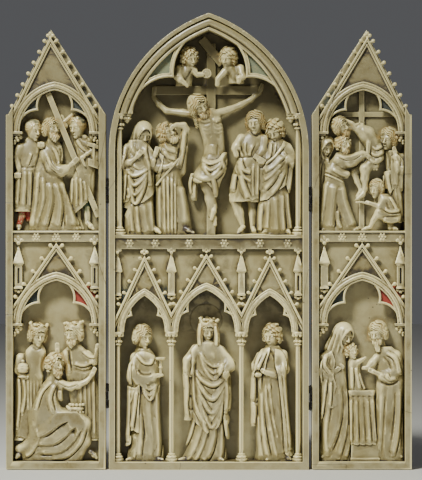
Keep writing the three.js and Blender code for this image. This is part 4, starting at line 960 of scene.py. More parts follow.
hand(centre, (55.2, 7, 217.6), (53.4, 5.6, 219.8), (51.8, 5.8, 222.6), 1.05)
centre.rod([(52.6, 7, 216.6, 1.3), (52.4, 7.6, 209, 1.2), (52.2, 7.6, 204.4, 1.5)], 0.4)
centre.add((30, 2, 213), (42, 12, 224), lambda x, d, z: np.maximum(np.maximum(
    np.abs((x - 35.6) * 0.87 - (z - 218) * 0.5) - 4.6,
    np.abs((x - 35.6) * 0.5 + (z - 218) * 0.87) - 1.7), np.abs(d - 6.2) - 2), 0.2)
hand(centre, (38.6, 7.4, 214.6), (37.4, 4.6, 215.4), (34.2, 4, 217.4), 0.95)
fall = Cloth(centre, 28, 41, 186, 219, 3, 20)
fall.body([
    (217.6, 34.2, 3.6, 9.6, 3.4), (210, 33.6, 4.4, 10.6, 3.8), (200, 33.6, 4.8, 11.4, 4.2),
    (190, 32.8, 4.2, 12.4, 4.2), (187.6, 32.6, 2.6, 12.8, 3.2)])
fall.folds(
    (1.3, 1.5, (31.4, 215), (30.8, 204), (31.2, 190)), (1.2, 1.4, (34.8, 216), (34.6, 204), (34.2, 191)),
    (1.1, 1.3, (37.4, 213), (37.6, 203), (36.8, 195)))
fall.join()
pail = [(192, 2), (193, 2.4), (199.4, 2.8), (200, 2.9), (200.2, 2.4)]
centre.add((33, 6, 190), (43, 18, 204), lambda x, d, z: upright(x, d, z, (38.6, 11.6), pail), 0.3)
centre.cut((34, 6, 196), (43, 18, 204), lambda x, d, z: upright(x, d, z, (38.6, 11.4), [(197, 1.6), (204, 2.3)]), 0.2)
feet(centre, ((42, 9, 168), (38, 5.4, 165.8), 1), ((54, 9, 168), (57, 5.2, 165.8), 1))
for x0, high, wide in ((-10, 1, 5), (14, 1.1, 7), (30, 1.5, 8), (38, 1.4, 6), (-56, 0.8, 5), (58, 0.9, 5)):
    centre.ball((x0, 9, 164.2), high, 1.2, (wide / high, 5, 1))


# ---------------------------------------------------------------- the frames of the two wings
# Each wing is a thinner leaf with a steep gable, carved in two storeys. Its arches spring from leafy corbels,
# two turrets flank the lower gable, and the crockets of the upper one stand free along the outer edge.
WING = dict(half=34.85, apex=309, shoulder=249, depth=17, floor=13.5, strip=4.7, sole=5.8, lift=0.5,
            springs=(101.6, 236.2), frieze=163.2, lean=3.9)


def wing_frame(outer, slots):
    wing = Block((-35.6, -0.6, -0.2), (35.6, 17.6, 309.6))
    x, d, z = wing.whole()[1]
    low_spring, high_spring = WING["springs"]
    peak = outer * WING["lean"]
    rake = gable_line(x, z, 0, WING["half"], WING["shoulder"], WING["apex"], peak)
    bare = (x - peak) * outer > 0
    outline = np.maximum(np.maximum(np.abs(x) - WING["half"], WING["lift"] - z),
                         np.where(bare & (z > WING["shoulder"]), rake + 1.5, rake))
    recess = np.maximum(np.abs(x) - WING["half"] + WING["strip"], WING["sole"] - z)
    wing.field = np.maximum(slab(outline, d, 0, WING["depth"]), -np.maximum(recess, d - WING["floor"]))
    bay(wing, 0.3, (30.2, low_spring, 138.4, 4.8), (12.2, 103.2, 13.2), (0.8, 120.4, 12.7), (31, 114, 159, None),
        (-31, 31, low_spring, 161), 5.5, WING["floor"], (5, 1.45, 2.4))
    bay(wing, outer * 1, (30, high_spring, 271.8, 4.8), (12, 238.8, 13), (0.8, 255, 12.4),
        (31.5, 246.5, 303.5, peak),
        (-31, 31, high_spring, 312), 5.5, WING["floor"], None)
    wing.field = np.maximum(wing.field, outline)
    crockets(wing, outer, 31.5, 246.5, 303.5, 2.6, 7, 1.45, 2.3, peak)
    leaf_finial(wing, 0.3, 2.4, 159.4, 2.2)
    leaf_finial(wing, peak, 2.4, 302.2, 2.1)
    shelf = np.minimum(slab(np.maximum(np.abs(x) - 31, np.abs(z - WING["frieze"]) - 3.4), d, 1.9, 14),
                       slab(np.maximum(np.abs(x) - 31, np.abs(z - 166.7) - 0.7), d, 0.7, 14))
    wing.field = np.minimum(wing.field, shelf)
    for x0, cut in zip((-26.2, 27.2), slots):
        turret(wing, x0, 4.6, 128.4, 144.6, 157, 2.6, cut)
        leaf_finial(wing, x0, 2.4, 158.6, 2.3, 4)
    for x0 in (-13.7, 0.35, 14.4):
        rosette(wing, x0, WING["frieze"], 1.9, 3.1, 6 if x0 else 4)
    for side in (-1, 1):
        for high in WING["springs"]:
            edge = side * 27.4
            wing.plank((edge - 5, 0, high - 3), (edge + 5, 14, high + 2), (edge, high), (4, 0.85), 0.7, 13.6, 0.15)
            wing.add((edge - 5, 0, high - 4), (edge + 5, 14, high), lambda x, d, z: slab(np.maximum(
                np.abs(x - edge - side * 0.6) - 2.7, np.abs(z - high + 1.5) - 0.5), d, 2.6, 13.6), 0.15)
            wing.rod([(edge + side * 0.4, 7.2, high - 2, 2.7), (edge + side * 2.2, 8.4, high - 7.4, 1)], 0.6)
            for x0, drop, big in ((-2.4, 3, 1.3), (0.2, 3.3, 1.45), (2.6, 3, 1.2), (-0.6, 5.2, 1.1),
                                  (1.6, 5.6, 1.1), (1.6, 7.4, 0.8)):
                wing.ball((edge + side * x0, 4.4 + 0.35 * abs(x0), high - drop), big, 0.25, (1, 1.3, 1.1))
    wing.tint((-26, 5, 108), (-9, 8.2, 130), "night", 0.95)
    wing.tint((9, 5, 108), (27, 8.2, 130), "red", 0.95)
    for side in (-1, 1):
        wing.tint((side * 19.5 - 7.5, 5, 243), (side * 19.5 + 7.5, 8.2, 266), "night", 0.8)
    return wing


left_wing = wing_frame(-1, (True, True))
right_wing = wing_frame(1, (False, True))

# ---------------------------------------------------------------- the upper scene of the left wing
# A robed figure bears a cross aslant, with a guard in a belted tunic behind and a helper who steadies the beam.
guard = Cloth(left_wing, -33, -8, 180, 236, 0.3, 14)
guard.body([
    (233, -17, 3.2, 10.5, 3), (229, -18, 7.2, 10.6, 4), (222, -19.6, 8.2, 10.4, 5), (213, -20.4, 6.6, 10.2, 5),
    (204, -22, 7.2, 10.2, 5.2), (192, -23, 7.2, 10.2, 5.2), (181, -23.4, 6.8, 10.4, 5)])
guard.sleeve([(-25.6, 9, 226, 3.3), (-28, 7.6, 219.6, 2.8)])
guard.folds(
    (0.8, -1.1, (-26, 212.6), (-20, 211.6), (-15, 212.6)), (0.8, 0.8, (-17, 222), (-18.6, 217), (-20, 213.4)),
    (1.3, 1.2, (-25.6, 210), (-26.4, 198), (-27.6, 185)), (1.5, 1.2, (-21.6, 210), (-22, 198), (-22.8, 184)),
    (1.2, 1, (-18, 210), (-18, 198), (-18.4, 183)))
guard.join()
left_wing.rod([(-28, 7.4, 219.4, 2.1), (-26.2, 6.4, 212, 1.9), (-25.8, 6.2, 209.6, 1.6)], 0.4)
left_wing.ball((-27, 5.9, 206.2), 2.7, 0.5, (1.05, 0.9, 1))
for i in range(4):
    left_wing.rod([(-28.8 + i * 1.25, 4.2, 207.6, 0.62), (-28.6 + i * 1.15, 3.9, 205, 0.6)], 0.2)
head(left_wing, (-16.4, 9.6, 238.2), 14.2, 4, 38, 4, "cropped")
left_wing.rods(
    (0.6, (-24.6, 11, 184, 2.8), (-24.2, 10.6, 178, 2.4), (-26.6, 10.6, 171.6, 1.9)),
    (0.6, (-19.4, 12, 184, 2.6), (-19.6, 12, 176, 2.2)))
left_wing.stain("red", (-24.4, 10.8, 180), (-26.4, 10.6, 173), 3.2)
left_wing.stain("red", (-19.4, 12, 180), (-19.6, 12, 176), 2.9)
foot(left_wing, (-26.6, 9.8, 171.4), (-26.2, 5.6, 168.6), 1.05, True)

helper = Cloth(left_wing, 6, 33, 178, 238, 0.3, 14)
helper.body([
    (235, 16.4, 3.4, 10.5, 3), (231, 19, 7.2, 10.6, 4), (224, 21.4, 8, 10.4, 4.8), (213, 20.6, 7.4, 10.2, 4.8),
    (200, 18.6, 8.4, 10.4, 4.8), (188, 17.4, 8.6, 10.6, 4.6), (180, 17, 8.4, 10.8, 4.2)])
helper.form = np.maximum(helper.form, (181.6 + 0.9 * (helper.x - 15.4) - helper.z) / 1.35)
helper.sleeve([(26.6, 9, 226, 3.2), (28.2, 7, 218, 3), (25, 5.8, 215, 2.4)])
helper.folds(
    (1, 0.9, (14, 232), (18, 226), (23, 222)), (0.9, -1, (15.6, 235), (19.4, 232), (22.6, 232.4)),
    (0.9, 1, (21, 229), (24.6, 224), (26, 219)))
for start, end in (((11, 206), (10.4, 184)), ((14, 206), (14.2, 183)), ((17, 205), (18, 184)),
                   ((19.6, 203), (21.4, 188))):
    helper.fold(1.1, 1.2, start, ((start[0] + end[0]) / 2 + 0.4, 196), end)
helper.sheet(0.3, (8, 207), (24, 207), (24, 189.4), (15.4, 181.6), (8, 180), soft=False)
helper.join()
head(left_wing, (15, 9.6, 240.4), 14.6, -4, -34, 6, "cropped")
left_wing.rod([(20.6, 11, 192, 3), (21.4, 10.8, 184, 2.5), (22, 10.6, 174, 1.9)], 0.6)
left_wing.stain("green", (20.9, 9.6, 188), (22, 9.4, 175.4), 3.6, 0.95)
foot(left_wing, (22, 10, 173), (26.2, 6.4, 168.6), 1, True)
left_wing.rods(
    (0.6, (14.6, 12, 186, 2.4), (15.6, 12, 174, 1.9), (18, 11, 169, 1.5)),
    (0.2, (26.6, 4.4, 228, 1), (26.6, 4.2, 214, 1)))
left_wing.add((20, 2, 224), (31, 8, 230), lambda x, d, z: slab(np.maximum(
    np.abs(x - 25.8) - 3.8, np.abs(z - 227.4 + 0.3 * (x - 25.8)) - 1.4), d, 3.2, 7), 0.3)
left_wing.add((21, 2, 209), (31, 8, 220), lambda x, d, z: slab(np.maximum(
    np.abs(x - 26.2) - 3.6, np.abs(z - 214.6 + 0.35 * (x - 26.2)) - 2.6), d, 3.6, 7), 0.3)

# The beam of the cross, with the stub of its broken arm.
left_wing.plank((-9, 3, 174), (32, 14, 266), (12, 220.7), (47, 2), 5.4, 13.6, 0.2, (0.378, -0.926))
left_wing.rods(
    (0.3, (6.4, 9, 241, 2), (3.4, 9.6, 247.4, 1.9)),
    (0.4, (5, 8.4, 243.6, 1.4), (9.6, 9, 247.6, 1.5), (12.4, 10, 250, 1.2)))

bearer = Cloth(left_wing, -26, 23, 166, 234, 0.3, 14)
bearer.body([
    (231, -2.6, 3.6, 9.6, 3.4), (227.5, -2.6, 6.8, 9.4, 4.4), (220, -3.6, 8.6, 9, 5.2), (210, -5.6, 9.4, 8.8, 5.6),
    (196, -5.6, 10.6, 8.8, 5.6), (180, -2.6, 15, 9, 5.6), (166, -0.6, 18.6, 9.2, 5.8)])
bearer.sleeve([(-8, 7.6, 222, 3.8), (-3.4, 5.4, 212, 4.2), (3.6, 4.6, 209.6, 4), (6.8, 4.8, 210.6, 3.4)])
bearer.folds(
    (0.9, 1, (-2.4, 226), (0.6, 221), (2.6, 214)), (0.8, -0.9, (2.4, 226), (3.6, 221), (2.2, 215)),
    (0.9, 0.9, (-6, 220), (-2.4, 212), (3.6, 207)), (0.8, -0.8, (-10, 216), (-6, 208), (0, 204.6)),
    (1.9, 1.5, (-12.4, 210), (-13.6, 190), (-16.6, 169)), (1.9, 1.6, (-9.6, 206), (-8.4, 190), (-14, 170)),
    (2.4, 1.7, (-4.6, 202), (-3.4, 188), (-8.6, 169)), (2.2, 1.6, (-0.4, 202), (3.2, 186), (1, 169)),
    (2.6, 1.5, (3.2, 203), (9.4, 188), (12.6, 170)), (1.6, 1.1, (5.4, 203), (13.2, 186), (18, 170)),
    (0.9, -1.4, (-6.6, 200), (-6.4, 186), (-11.6, 170)), (0.9, -1.4, (1.6, 200), (5.8, 186), (6.4, 169)))
bearer.join()
head(left_wing, (-3.2, 8.6, 238.6), 14.6, 6, 32, -12, "waves", 0.14)
hands(left_wing,
    ((7.8, 4.6, 211.6), (12, 3.6, 215), (15.6, 3.4, 218.4), 1.1),
    ((21, 5, 221), (18, 3.6, 218.4), (19.6, 3.8, 213.4), 1))
left_wing.rod([(26, 6.6, 224, 2.2), (21.6, 5, 221.4, 1.6)], 0.5)
left_wing.ball((-10.4, 5.4, 227.6), 2.6, 0.5, (1.05, 0.9, 1))
for i in range(4):
    left_wing.rod([(-12.4 + i * 1.25, 3.8, 229.2, 0.6), (-12.4 + i * 1.25, 3.4, 226.6, 0.58)], 0.2)
for toe in ((-13.6, 168.4), (4.2, 168), (12.6, 168.4)):
    foot(left_wing, (toe[0] + 3.4, 8, toe[1] + 0.6), (toe[0], 5, toe[1]), 0.9)

# ---------------------------------------------------------------- the lower scene of the left wing
# Three kings: the oldest kneels with his crown on his knee, the young one carries a covered cup on a cloth.
young = Cloth(left_wing, -33, -4, 18, 90, 0.3, 14)
young.body([
    (87.5, -13.6, 3.2, 10.4, 3), (83.5, -14.6, 7.6, 10.6, 4.2), (76, -17, 9.6, 10.6, 4.8), (64, -19, 9.8, 10.4, 4.8),
    (44, -20, 9.6, 10.6, 4.6), (20, -20.4, 10, 10.8, 4.4)])
young.sleeve([(-25.4, 9, 78, 3.4), (-27, 7, 70, 3), (-23.4, 5.8, 65.6, 2.6)])
young.folds(
    (0.9, -1, (-22.4, 84), (-22, 76), (-22.4, 69)), (0.9, -0.9, (-8, 80), (-10, 72), (-9, 65)),
    (0.8, -0.7, (-17, 86), (-13.6, 83.6), (-10.6, 85.6)))
young.pleats([(-19, 64), (-9, 64)], [(-18, 24), (-10, 24)], 4, 1.1, 1.2)
young.fold(0.9, -0.9, (-27.4, 22.6), (-20, 20.6), (-13, 22))
young.join()
drop = Cloth(left_wing, -31, -15, 20, 68, 0.3, 14)
drop.body([
    (66.6, -22.6, 4.2, 7.4, 2.8), (56, -22.4, 4.4, 8.2, 3), (46, -22.6, 4.6, 8.6, 3.2), (36, -23.6, 4.2, 9, 3.2),
    (27, -25.6, 3.4, 9.4, 3), (23, -26.4, 2.2, 9.6, 2.6)])
drop.sheet(
    0.2, (-28.6, 68), (-17, 68), (-18, 52), (-16.6, 38), (-20.6, 35.6), (-22, 33), (-23.6, 36.6), (-24.6, 25.6),
    (-26.6, 22), (-29, 22.6), (-27.6, 34), (-28.4, 48), soft=False)
drop.folds(
    (1, 1.3, (-26.6, 65), (-25.4, 50), (-27.4, 28)), (1, 1.3, (-22.8, 65), (-21.6, 52), (-23.8, 38)),
    (0.9, 1.2, (-19.4, 64), (-19.4, 50), (-18.8, 40)), (0.8, -1.1, (-21, 60), (-20.4, 48), (-21.6, 38)))
drop.join()
cup = [(64.4, 3.2), (65.4, 3.4), (66, 1.6), (67, 1.5), (68.4, 3.8), (70.6, 4.5), (72, 4.2), (72.4, 3.9), (73, 4.1),
       (74.4, 2.6), (75, 1.2), (76, 1.4), (77, 0.7)]
left_wing.add((-29, 0.3, 64), (-18, 11, 78), lambda x, d, z: upright(x, d, z, (-23.6, 5.6), cup), 0.3)
hand(left_wing, (-25, 6, 64.6), (-23, 4.4, 63.8), (-19.6, 4.2, 64.4), 0.9)
head(left_wing, (-13.2, 9.2, 94), 14.2, 5, 24, 8, "crown")

middle_king = Cloth(left_wing, 2, 33, 18, 90, 0.3, 14)
middle_king.body([
    (87.5, 12.8, 3.4, 10.4, 3), (83.5, 13.6, 8.2, 10.6, 4.2), (76, 14.6, 10.2, 10.6, 4.8), (64, 17, 10.2, 10.6, 4.6),
    (44, 20, 9.8, 10.8, 4.4), (20, 21.4, 9.6, 10.8, 4.2)])
middle_king.sleeves(
    ((21.6, 9, 80, 3.4), (27, 7, 75.6, 3)), ((6.2, 9, 80, 3.4), (3.4, 7, 75, 2.6), (1.6, 6.6, 80, 2)))
middle_king.folds(
    (1.1, 1.1, (6.6, 84), (8, 76), (9.4, 68)), (0.8, -1, (8.8, 85), (9.8, 77), (10.8, 70)),
    (1, 1, (12.4, 74), (19.4, 72.6), (25.6, 75)), (1, -1, (12.4, 70.6), (19, 68.6), (26, 70.6)),
    (0.9, 0.9, (18.4, 83), (23.4, 79), (27.4, 78.4)))
middle_king.pleats([(17, 64), (29.6, 66)], [(18.6, 24), (30, 22)], 5, 1.15, 1.3)
middle_king.join()
left_wing.rod([(27.4, 6.8, 76, 2.3), (28.4, 6.6, 81, 1.6)], 0.4)
hands(left_wing,
    ((28.4, 6.6, 81), (28.6, 5.8, 84), (29.2, 5.8, 88), 0.95),
    ((1.4, 6.2, 80.4), (0.8, 5.4, 84), (0.6, 5.4, 88.6), 1))
head(left_wing, (12.4, 9.2, 94.8), 14.4, -4, -36, 2, "crown", 0.13)

kneeling = Cloth(left_wing, -31, 27, 5, 68, 0.3, 14)
kneeling.body([
    (65, -0.8, 4.4, 8.4, 3.6), (60, -2.4, 7.6, 8.2, 4.8), (52, -5.6, 9.4, 7.8, 5.6), (42, -7.6, 10.2, 7.4, 6),
    (32, -5.4, 13.4, 7.6, 6), (24, -2.6, 17.4, 8, 5.6), (14, -4.4, 20.6, 8.6, 5), (5, -3.4, 20, 9, 4.8)])
kneeling.sleeve([
    (2, 6.6, 38, 6.2), (14, 5.6, 35.6, 5.6), (19.4, 6, 32, 4.6), (19.6, 7.6, 20, 4.2), (13, 9, 8, 5.2)], 4)
kneeling.sleeve([(-18, 9, 17, 4), (-26, 9, 14, 3.2)], 3)
kneeling.sleeve([(2.2, 6, 60, 3.6), (10.4, 4.8, 57.6, 3.2), (15.6, 4.4, 59, 2.9)])
kneeling.folds(
    (1, 1, (-2, 62), (-9.6, 54), (-13.6, 42)), (1.3, 1.2, (-0.4, 60), (-3.8, 50), (-1.8, 40)),
    (0.9, -1.2, (1.4, 58.6), (0.6, 50), (5.4, 42.6)), (1.1, 1.1, (3.6, 56), (4.4, 49), (8.6, 44.6)),
    (2.3, 1.5, (13, 38), (3, 33.6), (-7, 26), (-14.4, 22.4)),
    (2, 1.5, (15.6, 34.6), (9, 26.6), (-2, 18.6), (-14, 18)),
    (1.9, 1.5, (18.2, 31.6), (13.4, 22), (2.6, 12.6), (-12.6, 12.6)),
    (1.6, 1.2, (20.4, 29), (17, 19), (7.6, 9.4), (-4, 7.6)), (0.9, -1.3, (14.4, 32.6), (6, 24.6), (-6, 19.6)),
    (0.9, -1.3, (17, 28), (10, 18), (-2, 11.6), (-12, 9.6)),
    (1.3, 1.1, (-14.4, 30), (-11.6, 22), (-17, 12), (-22, 8.6)), (1, 0.9, (2.6, 62), (8.6, 59), (14.6, 60.6)),
    (0.8, -0.8, (3.6, 57.6), (9.4, 55), (15, 56.4)))
kneeling.join()
left_wing.rod([(15.4, 4.4, 59, 2.5), (21, 4.6, 61.6, 1.9), (23.4, 5, 64, 1.5)], 0.4)
hand(left_wing, (23.4, 5, 64), (25.6, 4.6, 67.2), (27.6, 5, 71.4), 1)
head(left_wing, (-0.8, 7, 73.2), 14.6, 12, 40, -12, "curls", 0.14)
feet(left_wing, ((-25, 8.6, 12), (-28, 6.6, 8), 0.95, True), ((24.4, 8, 12), (28.4, 6, 7.8), 1, True))
kings_crown = [(36.4, 4.6), (37.4, 5), (38.4, 4.4), (41.6, 4.7), (42.6, 5.2), (43.6, 4.8), (44, 3.4)]
left_wing.add((7, 0.3, 36), (22, 12, 45), lambda x, d, z: upright(x, d, z, (14.6, 6), kings_crown), 0.3)
for i in range(7):
    way = math.radians(-90 + i * 30)
    left_wing.ball((14.6 + 4.9 * math.sin(way), 6 - 4.4 * math.cos(way), 45.4), 1.15, 0.3)
    left_wing.ball((14.6 + 5.0 * math.sin(way), 6 - 4.7 * math.cos(way), 40.2), 0.7, 0.2)
hand(left_wing, (8, 4.4, 44), (10.4, 2.6, 41.6), (12.6, 1.9, 38.6), 0.95)

# ---------------------------------------------------------------- the upper scene of the right wing
# The body is lifted down: an old man takes its weight in his arms, a crouching one works at the feet, and two
# mourners stand by, in front of the cross.
right_wing.plank((-26, 8, 247), (24, 14, 252), (0, 249.5), (25, 1.8), 11.6, 14, 0.15)
# Painted shade on the back wall of the upper scene, darker towards the top.
for step in range(4):
    right_wing.tint((-24, 12.2, 240 + step * 7), (24, 14, 247 + step * 7), "painted_shade", 0.16 * (step + 1))
right_wing.plank((-2, 8, 166), (3, 14, 270), (0.4, 218), (1.9, 51), 11.3, 14, 0.15)

mother = Cloth(right_wing, -33, -16, 178, 222, 0.3, 14)
mother.body([
    (219, -26, 4.2, 10.6, 3.4), (214, -26.4, 6, 10.6, 4.2), (204, -27.6, 5.2, 10.6, 4.2), (190, -29, 3, 11, 3.4),
    (180, -29.4, 2, 11.4, 2.8)])
mother.folds(
    (1, 1, (-24, 219), (-22.6, 212), (-24, 206)), (0.9, 0.9, (-28.6, 216), (-29.6, 206), (-30, 192)),
    (0.8, -0.9, (-26.4, 216), (-25.6, 209), (-27, 200)))
mother.join()
head(right_wing, (-25.6, 9.4, 227), 14, 6, 30, 20, "veil")

mourner = Cloth(right_wing, 11, 33, 172, 226, 0.3, 14)
mourner.body([
    (224, 20.6, 3.8, 10.4, 3.4), (220, 23, 7, 10.6, 4.2), (212, 24.4, 7, 10.4, 4.8), (200, 24.6, 6.8, 10.6, 4.6),
    (186, 25.4, 6, 10.8, 4.4), (174, 26, 5.4, 11, 4)])
mourner.sleeve([(28.8, 8.6, 219, 3), (28, 6.4, 212, 3.2), (24.8, 5.2, 219.4, 1.9)])
mourner.fold(0.8, -0.8, (18.6, 223), (20, 216), (19.4, 210))
mourner.sheet(
    1.1, (20.8, 219.6), (24, 221.6), (27.8, 219), (30.4, 214), (30.2, 197), (28, 195), (25.6, 198.6), (23.2, 196.8),
    (21.6, 200.4), (21, 208), soft=False)
mourner.folds((2, 1.2, (24.8, 217), (24.6, 208), (24.4, 198.4)), (1.3, 1.1, (28.6, 214), (28.8, 205), (28.2, 196)))
mourner.sheet(
    1.7, (13.8, 208.4), (20.4, 210), (21.2, 203), (22.8, 197.4), (20, 192.6), (18.6, 198.4), (16.8, 196),
    (16.2, 201.4), (14.2, 199.4), soft=False)
mourner.folds((1.1, 1, (18.6, 208), (18.8, 202), (20.2, 195)), (0.8, 0.8, (15.2, 207), (15.6, 203), (15.2, 200.4)))
mourner.sheet(0.3, (22, 203), (31, 200), (31, 174), (22, 174), soft=False)
mourner.folds((1.5, 1.2, (26, 200), (27.6, 188), (28.6, 176)), (1, 1, (23.6, 199), (24.8, 190), (26, 180)))
mourner.join()
hand(right_wing, (24.4, 5.2, 219.6), (23.4, 4.2, 222.6), (22.4, 4.2, 226.4), 0.95, 0.8)
head(right_wing, (19, 9, 232), 14, 6, -30, 8, "waves")

# The dead body, bent over the old man's shoulder.
right_wing.rods(
    (2.4, (-1.2, 8.2, 239, 4.4), (4, 8.4, 235, 5.6), (7.8, 8.2, 229, 5.2), (9.8, 8.2, 222.6, 4.8),
     (9, 8.2, 217, 4.6)),
    (1.5, (-3.6, 8, 240.2, 2.8), (-9, 8, 240.2, 2.3)),
    (0.6, (5.2, 5.4, 236, 2.3), (5, 3.8, 229, 1.9), (4.4, 3.4, 222.4, 1.5)),
    (1.2, (8.2, 6.8, 216, 4.4), (2.6, 5.2, 211, 3.9), (2.2, 5.6, 204, 2.8), (2.8, 6.8, 197.4, 1.8),
     (0.8, 6.2, 192.8, 1.8), (-2.8, 5, 190, 1.2)),
    (1, (1, 9.6, 212.4, 3), (-4.6, 9.2, 208.6, 2.6), (-2.6, 9, 202, 2.1), (0, 8.4, 196, 1.6),
     (-2.6, 7, 191.6, 1.5)))
for toe in range(4):
    right_wing.rod([
        (-2.4 - toe * 0.2, 4.8 + toe * 0.7, 190.4 - toe * 0.2, 0.55),
        (-4.0 - toe * 0.2, 4.5 + toe * 0.7, 189.4 - toe * 0.2, 0.45)], 0.15)
loin = Cloth(right_wing, 2, 17, 208, 231, 0.3, 14)
loin.body([
    (229, 10.2, 3.8, 8, 4.8), (224, 11, 5, 7.8, 5.2), (218, 10.2, 5.6, 7.4, 5.4), (213.6, 7.6, 4.6, 7.2, 4.6),
    (211, 8.6, 3, 8, 3.4)])
loin.folds(
    (1, 1.1, (6.6, 227), (10.4, 224.6), (15, 227)), (1, 1.1, (5.8, 222.6), (10.4, 220), (15.6, 222.6)),
    (1, 1.1, (4.8, 218), (9.6, 215), (15, 217.6)), (0.9, 1, (5, 213.6), (8.4, 211.6), (12.6, 213)))
loin.join(0.3)
for side in (0, 1):
    right_wing.rod([(6 + side * 2.6, 4.2, 214.6, 1.1), (8.6 + side * 2, 4.8, 210.6, 0.9)], 0.3)
head(right_wing, (-14.6, 7.6, 241), 13, -34, 36, 18, "waves", 0.10)
for i in range(3):
    right_wing.rod([
        (-10.6, 6.2 + i * 0.6, 245.0 - i * 1.3, 1), (-6.4, 5.0 + i * 0.6, 243.4 - i * 0.9, 0.9),
        (-4.4, 4.8 + i * 0.5, 241.6 - i * 0.7, 0.8), (-1.6, 5 + i * 0.5, 243.0 - i * 1.2, 0.6)], 0.3)

holder = Cloth(right_wing, -33, 6, 166, 226, 0.3, 14)
holder.body([
    (222, -12.6, 4.2, 9, 4), (217, -15.2, 6.8, 8.6, 5), (210, -19, 7.4, 8.2, 5.4), (204, -19.2, 6.6, 8.6, 5),
    (199, -19, 7.4, 8.6, 5.2), (190, -18.8, 9.2, 8.8, 5.4), (178, -18, 12, 9, 5.4),
    (166, -16.6, 14.8, 9.2, 5.4)])
holder.sleeve([(-15, 6.6, 217.4, 4.8), (-7.6, 4.8, 216, 4.6), (0.8, 4.2, 220.8, 3)])
holder.sleeve([(-14.6, 6.6, 211, 4.4), (-11, 6.4, 206.8, 2.8)], 2)
holder.folds(
    (1.3, 0.9, (-17, 221), (-8.6, 217.8), (-0.6, 222)), (1, -1, (-19.6, 214.6), (-11, 210.2), (-3.4, 214.4)),
    (1.1, 0.9, (-21, 211), (-13.6, 206.4), (-7.2, 207.4)), (0.8, -0.9, (-15.4, 204.6), (-10, 203.2), (-6.4, 206.6)),
    (0.8, -1.3, (-27, 208.6), (-19.6, 205.8), (-11.6, 202.2)),
    (0.6, 0.9, (-26.6, 207.2), (-19.4, 204.4), (-12, 200.8)), (2.7, 1.3, (-24, 203), (-26.2, 188), (-29, 169)),
    (3, 1.6, (-18.6, 201), (-20.4, 186), (-22.4, 168)), (3, 1.6, (-14.2, 199.4), (-12, 186), (-5.2, 169.6)),
    (1, -1.5, (-16.8, 196), (-17.2, 184), (-15.4, 169)), (1.2, 1, (-16.6, 182), (-16.4, 175), (-14.4, 168.6)))
holder.join()
hand(right_wing, (1.6, 4, 221.2), (4.4, 2.8, 219.8), (7.2, 2.8, 217), 1)
head(right_wing, (-12.8, 7.8, 228), 12.6, 14, 38, -14, "curls", 0.10)
for toe in (-27.4, -17, -5):
    foot(right_wing, (toe + 3, 8, 168.8), (toe, 4.8, 168), 0.95)

small = Cloth(right_wing, 8, 31, 171, 196, 0.3, 14)
small.body([
    (193.4, 14.6, 3.8, 8.6, 3.8), (189.6, 17.2, 6, 8, 5), (184, 20, 7.2, 7.8, 5.4), (178, 22, 7, 8, 5.4),
    (173, 21.8, 6.6, 8.4, 4.8)])
small.sleeve([(15.6, 6, 189.4, 2.9), (12.6, 5, 184.4, 2.3)])
small.sleeve([(20, 6.4, 178, 3.8), (13, 5.4, 178.6, 3)], 2)
small.folds(
    (0.9, 1, (19.6, 192), (22.6, 187), (25.6, 180.6)), (0.8, -1, (17.4, 188), (18.6, 183.4), (20.6, 181)),
    (0.9, 1, (15.4, 183), (20.4, 180.6), (27.4, 181.6)), (0.8, -0.9, (13.6, 176.6), (19.4, 177.4), (26.4, 177.4)),
    (1.1, 1, (14.6, 175), (20.6, 173.6), (26.6, 175)))
small.join(0.3)
right_wing.rod([(12, 5, 184.6, 1.7), (7, 4.4, 186.4, 1.4)], 0.4)
hand(right_wing, (7, 4.4, 186.4), (5, 4, 187), (2.6, 4.2, 187.6), 0.85)
right_wing.rods(
    (0.2, (5.2, 4.2, 186.2, 0.7), (0, 4.6, 187.6, 0.7), (-3.6, 4.4, 187.4, 0.8)),
    (0.8, (19, 6.4, 177.6, 3), (12, 5, 180.4, 2.7), (8.4, 5.6, 174.6, 2), (6.2, 6.2, 169.6, 1.5)))
feet(right_wing, ((6, 6.2, 169.6), (0.8, 5.4, 168.2), 0.9), ((21.4, 8, 169.6), (25, 5.6, 168.4), 0.9))
right_wing.rod([(20.6, 8, 174, 2.6), (20.4, 8.2, 169.6, 1.8)], 0.6)
head(right_wing, (10.4, 7.6, 197), 11.8, 2, -32, 12, "waves")

# ---------------------------------------------------------------- the lower scene of the right wing
# The child stands on a draped altar between its mother and an old man, who reaches for it with covered hands.
mother = Cloth(right_wing, -33, -5, 6, 88, 0.3, 14)
mother.body([
    (86, -16.6, 4, 9.4, 3.8), (81, -19.6, 8.6, 9.2, 4.8), (74, -20.8, 9.8, 9, 5.4), (62, -20, 9.6, 8.8, 5.6),
    (44, -18.6, 9.6, 8.8, 5.6), (26, -18, 10.4, 9, 5.4), (6, -18.4, 12.2, 9.2, 5.2)])
mother.sleeve([(-26.6, 7.6, 78, 3.6), (-27.4, 5.8, 68.6, 3.8), (-21.4, 4.8, 65.4, 2.8)])
mother.folds(
    (0.9, 0.9, (-24.6, 80), (-23.6, 73), (-19, 69)), (0.8, -0.9, (-19.6, 80), (-20.4, 74), (-18.4, 70)),
    (1.2, 1, (-29, 72), (-25, 66.4), (-20, 66)), (1.6, 1.4, (-22.4, 58), (-23.6, 40), (-25, 24), (-23.6, 10)),
    (2.6, 1.2, (-16.4, 60), (-15.6, 42), (-18.6, 26), (-24, 12)),
    (1.5, 1.2, (-10.8, 60), (-9.8, 40), (-11.6, 24), (-16, 8)), (1.3, 1.2, (-8.6, 34), (-8.2, 20), (-11, 7.6)),
    (0.9, -1.3, (-20.6, 40), (-16, 33.6), (-10.6, 27), (-9.2, 18), (-10.4, 8)))
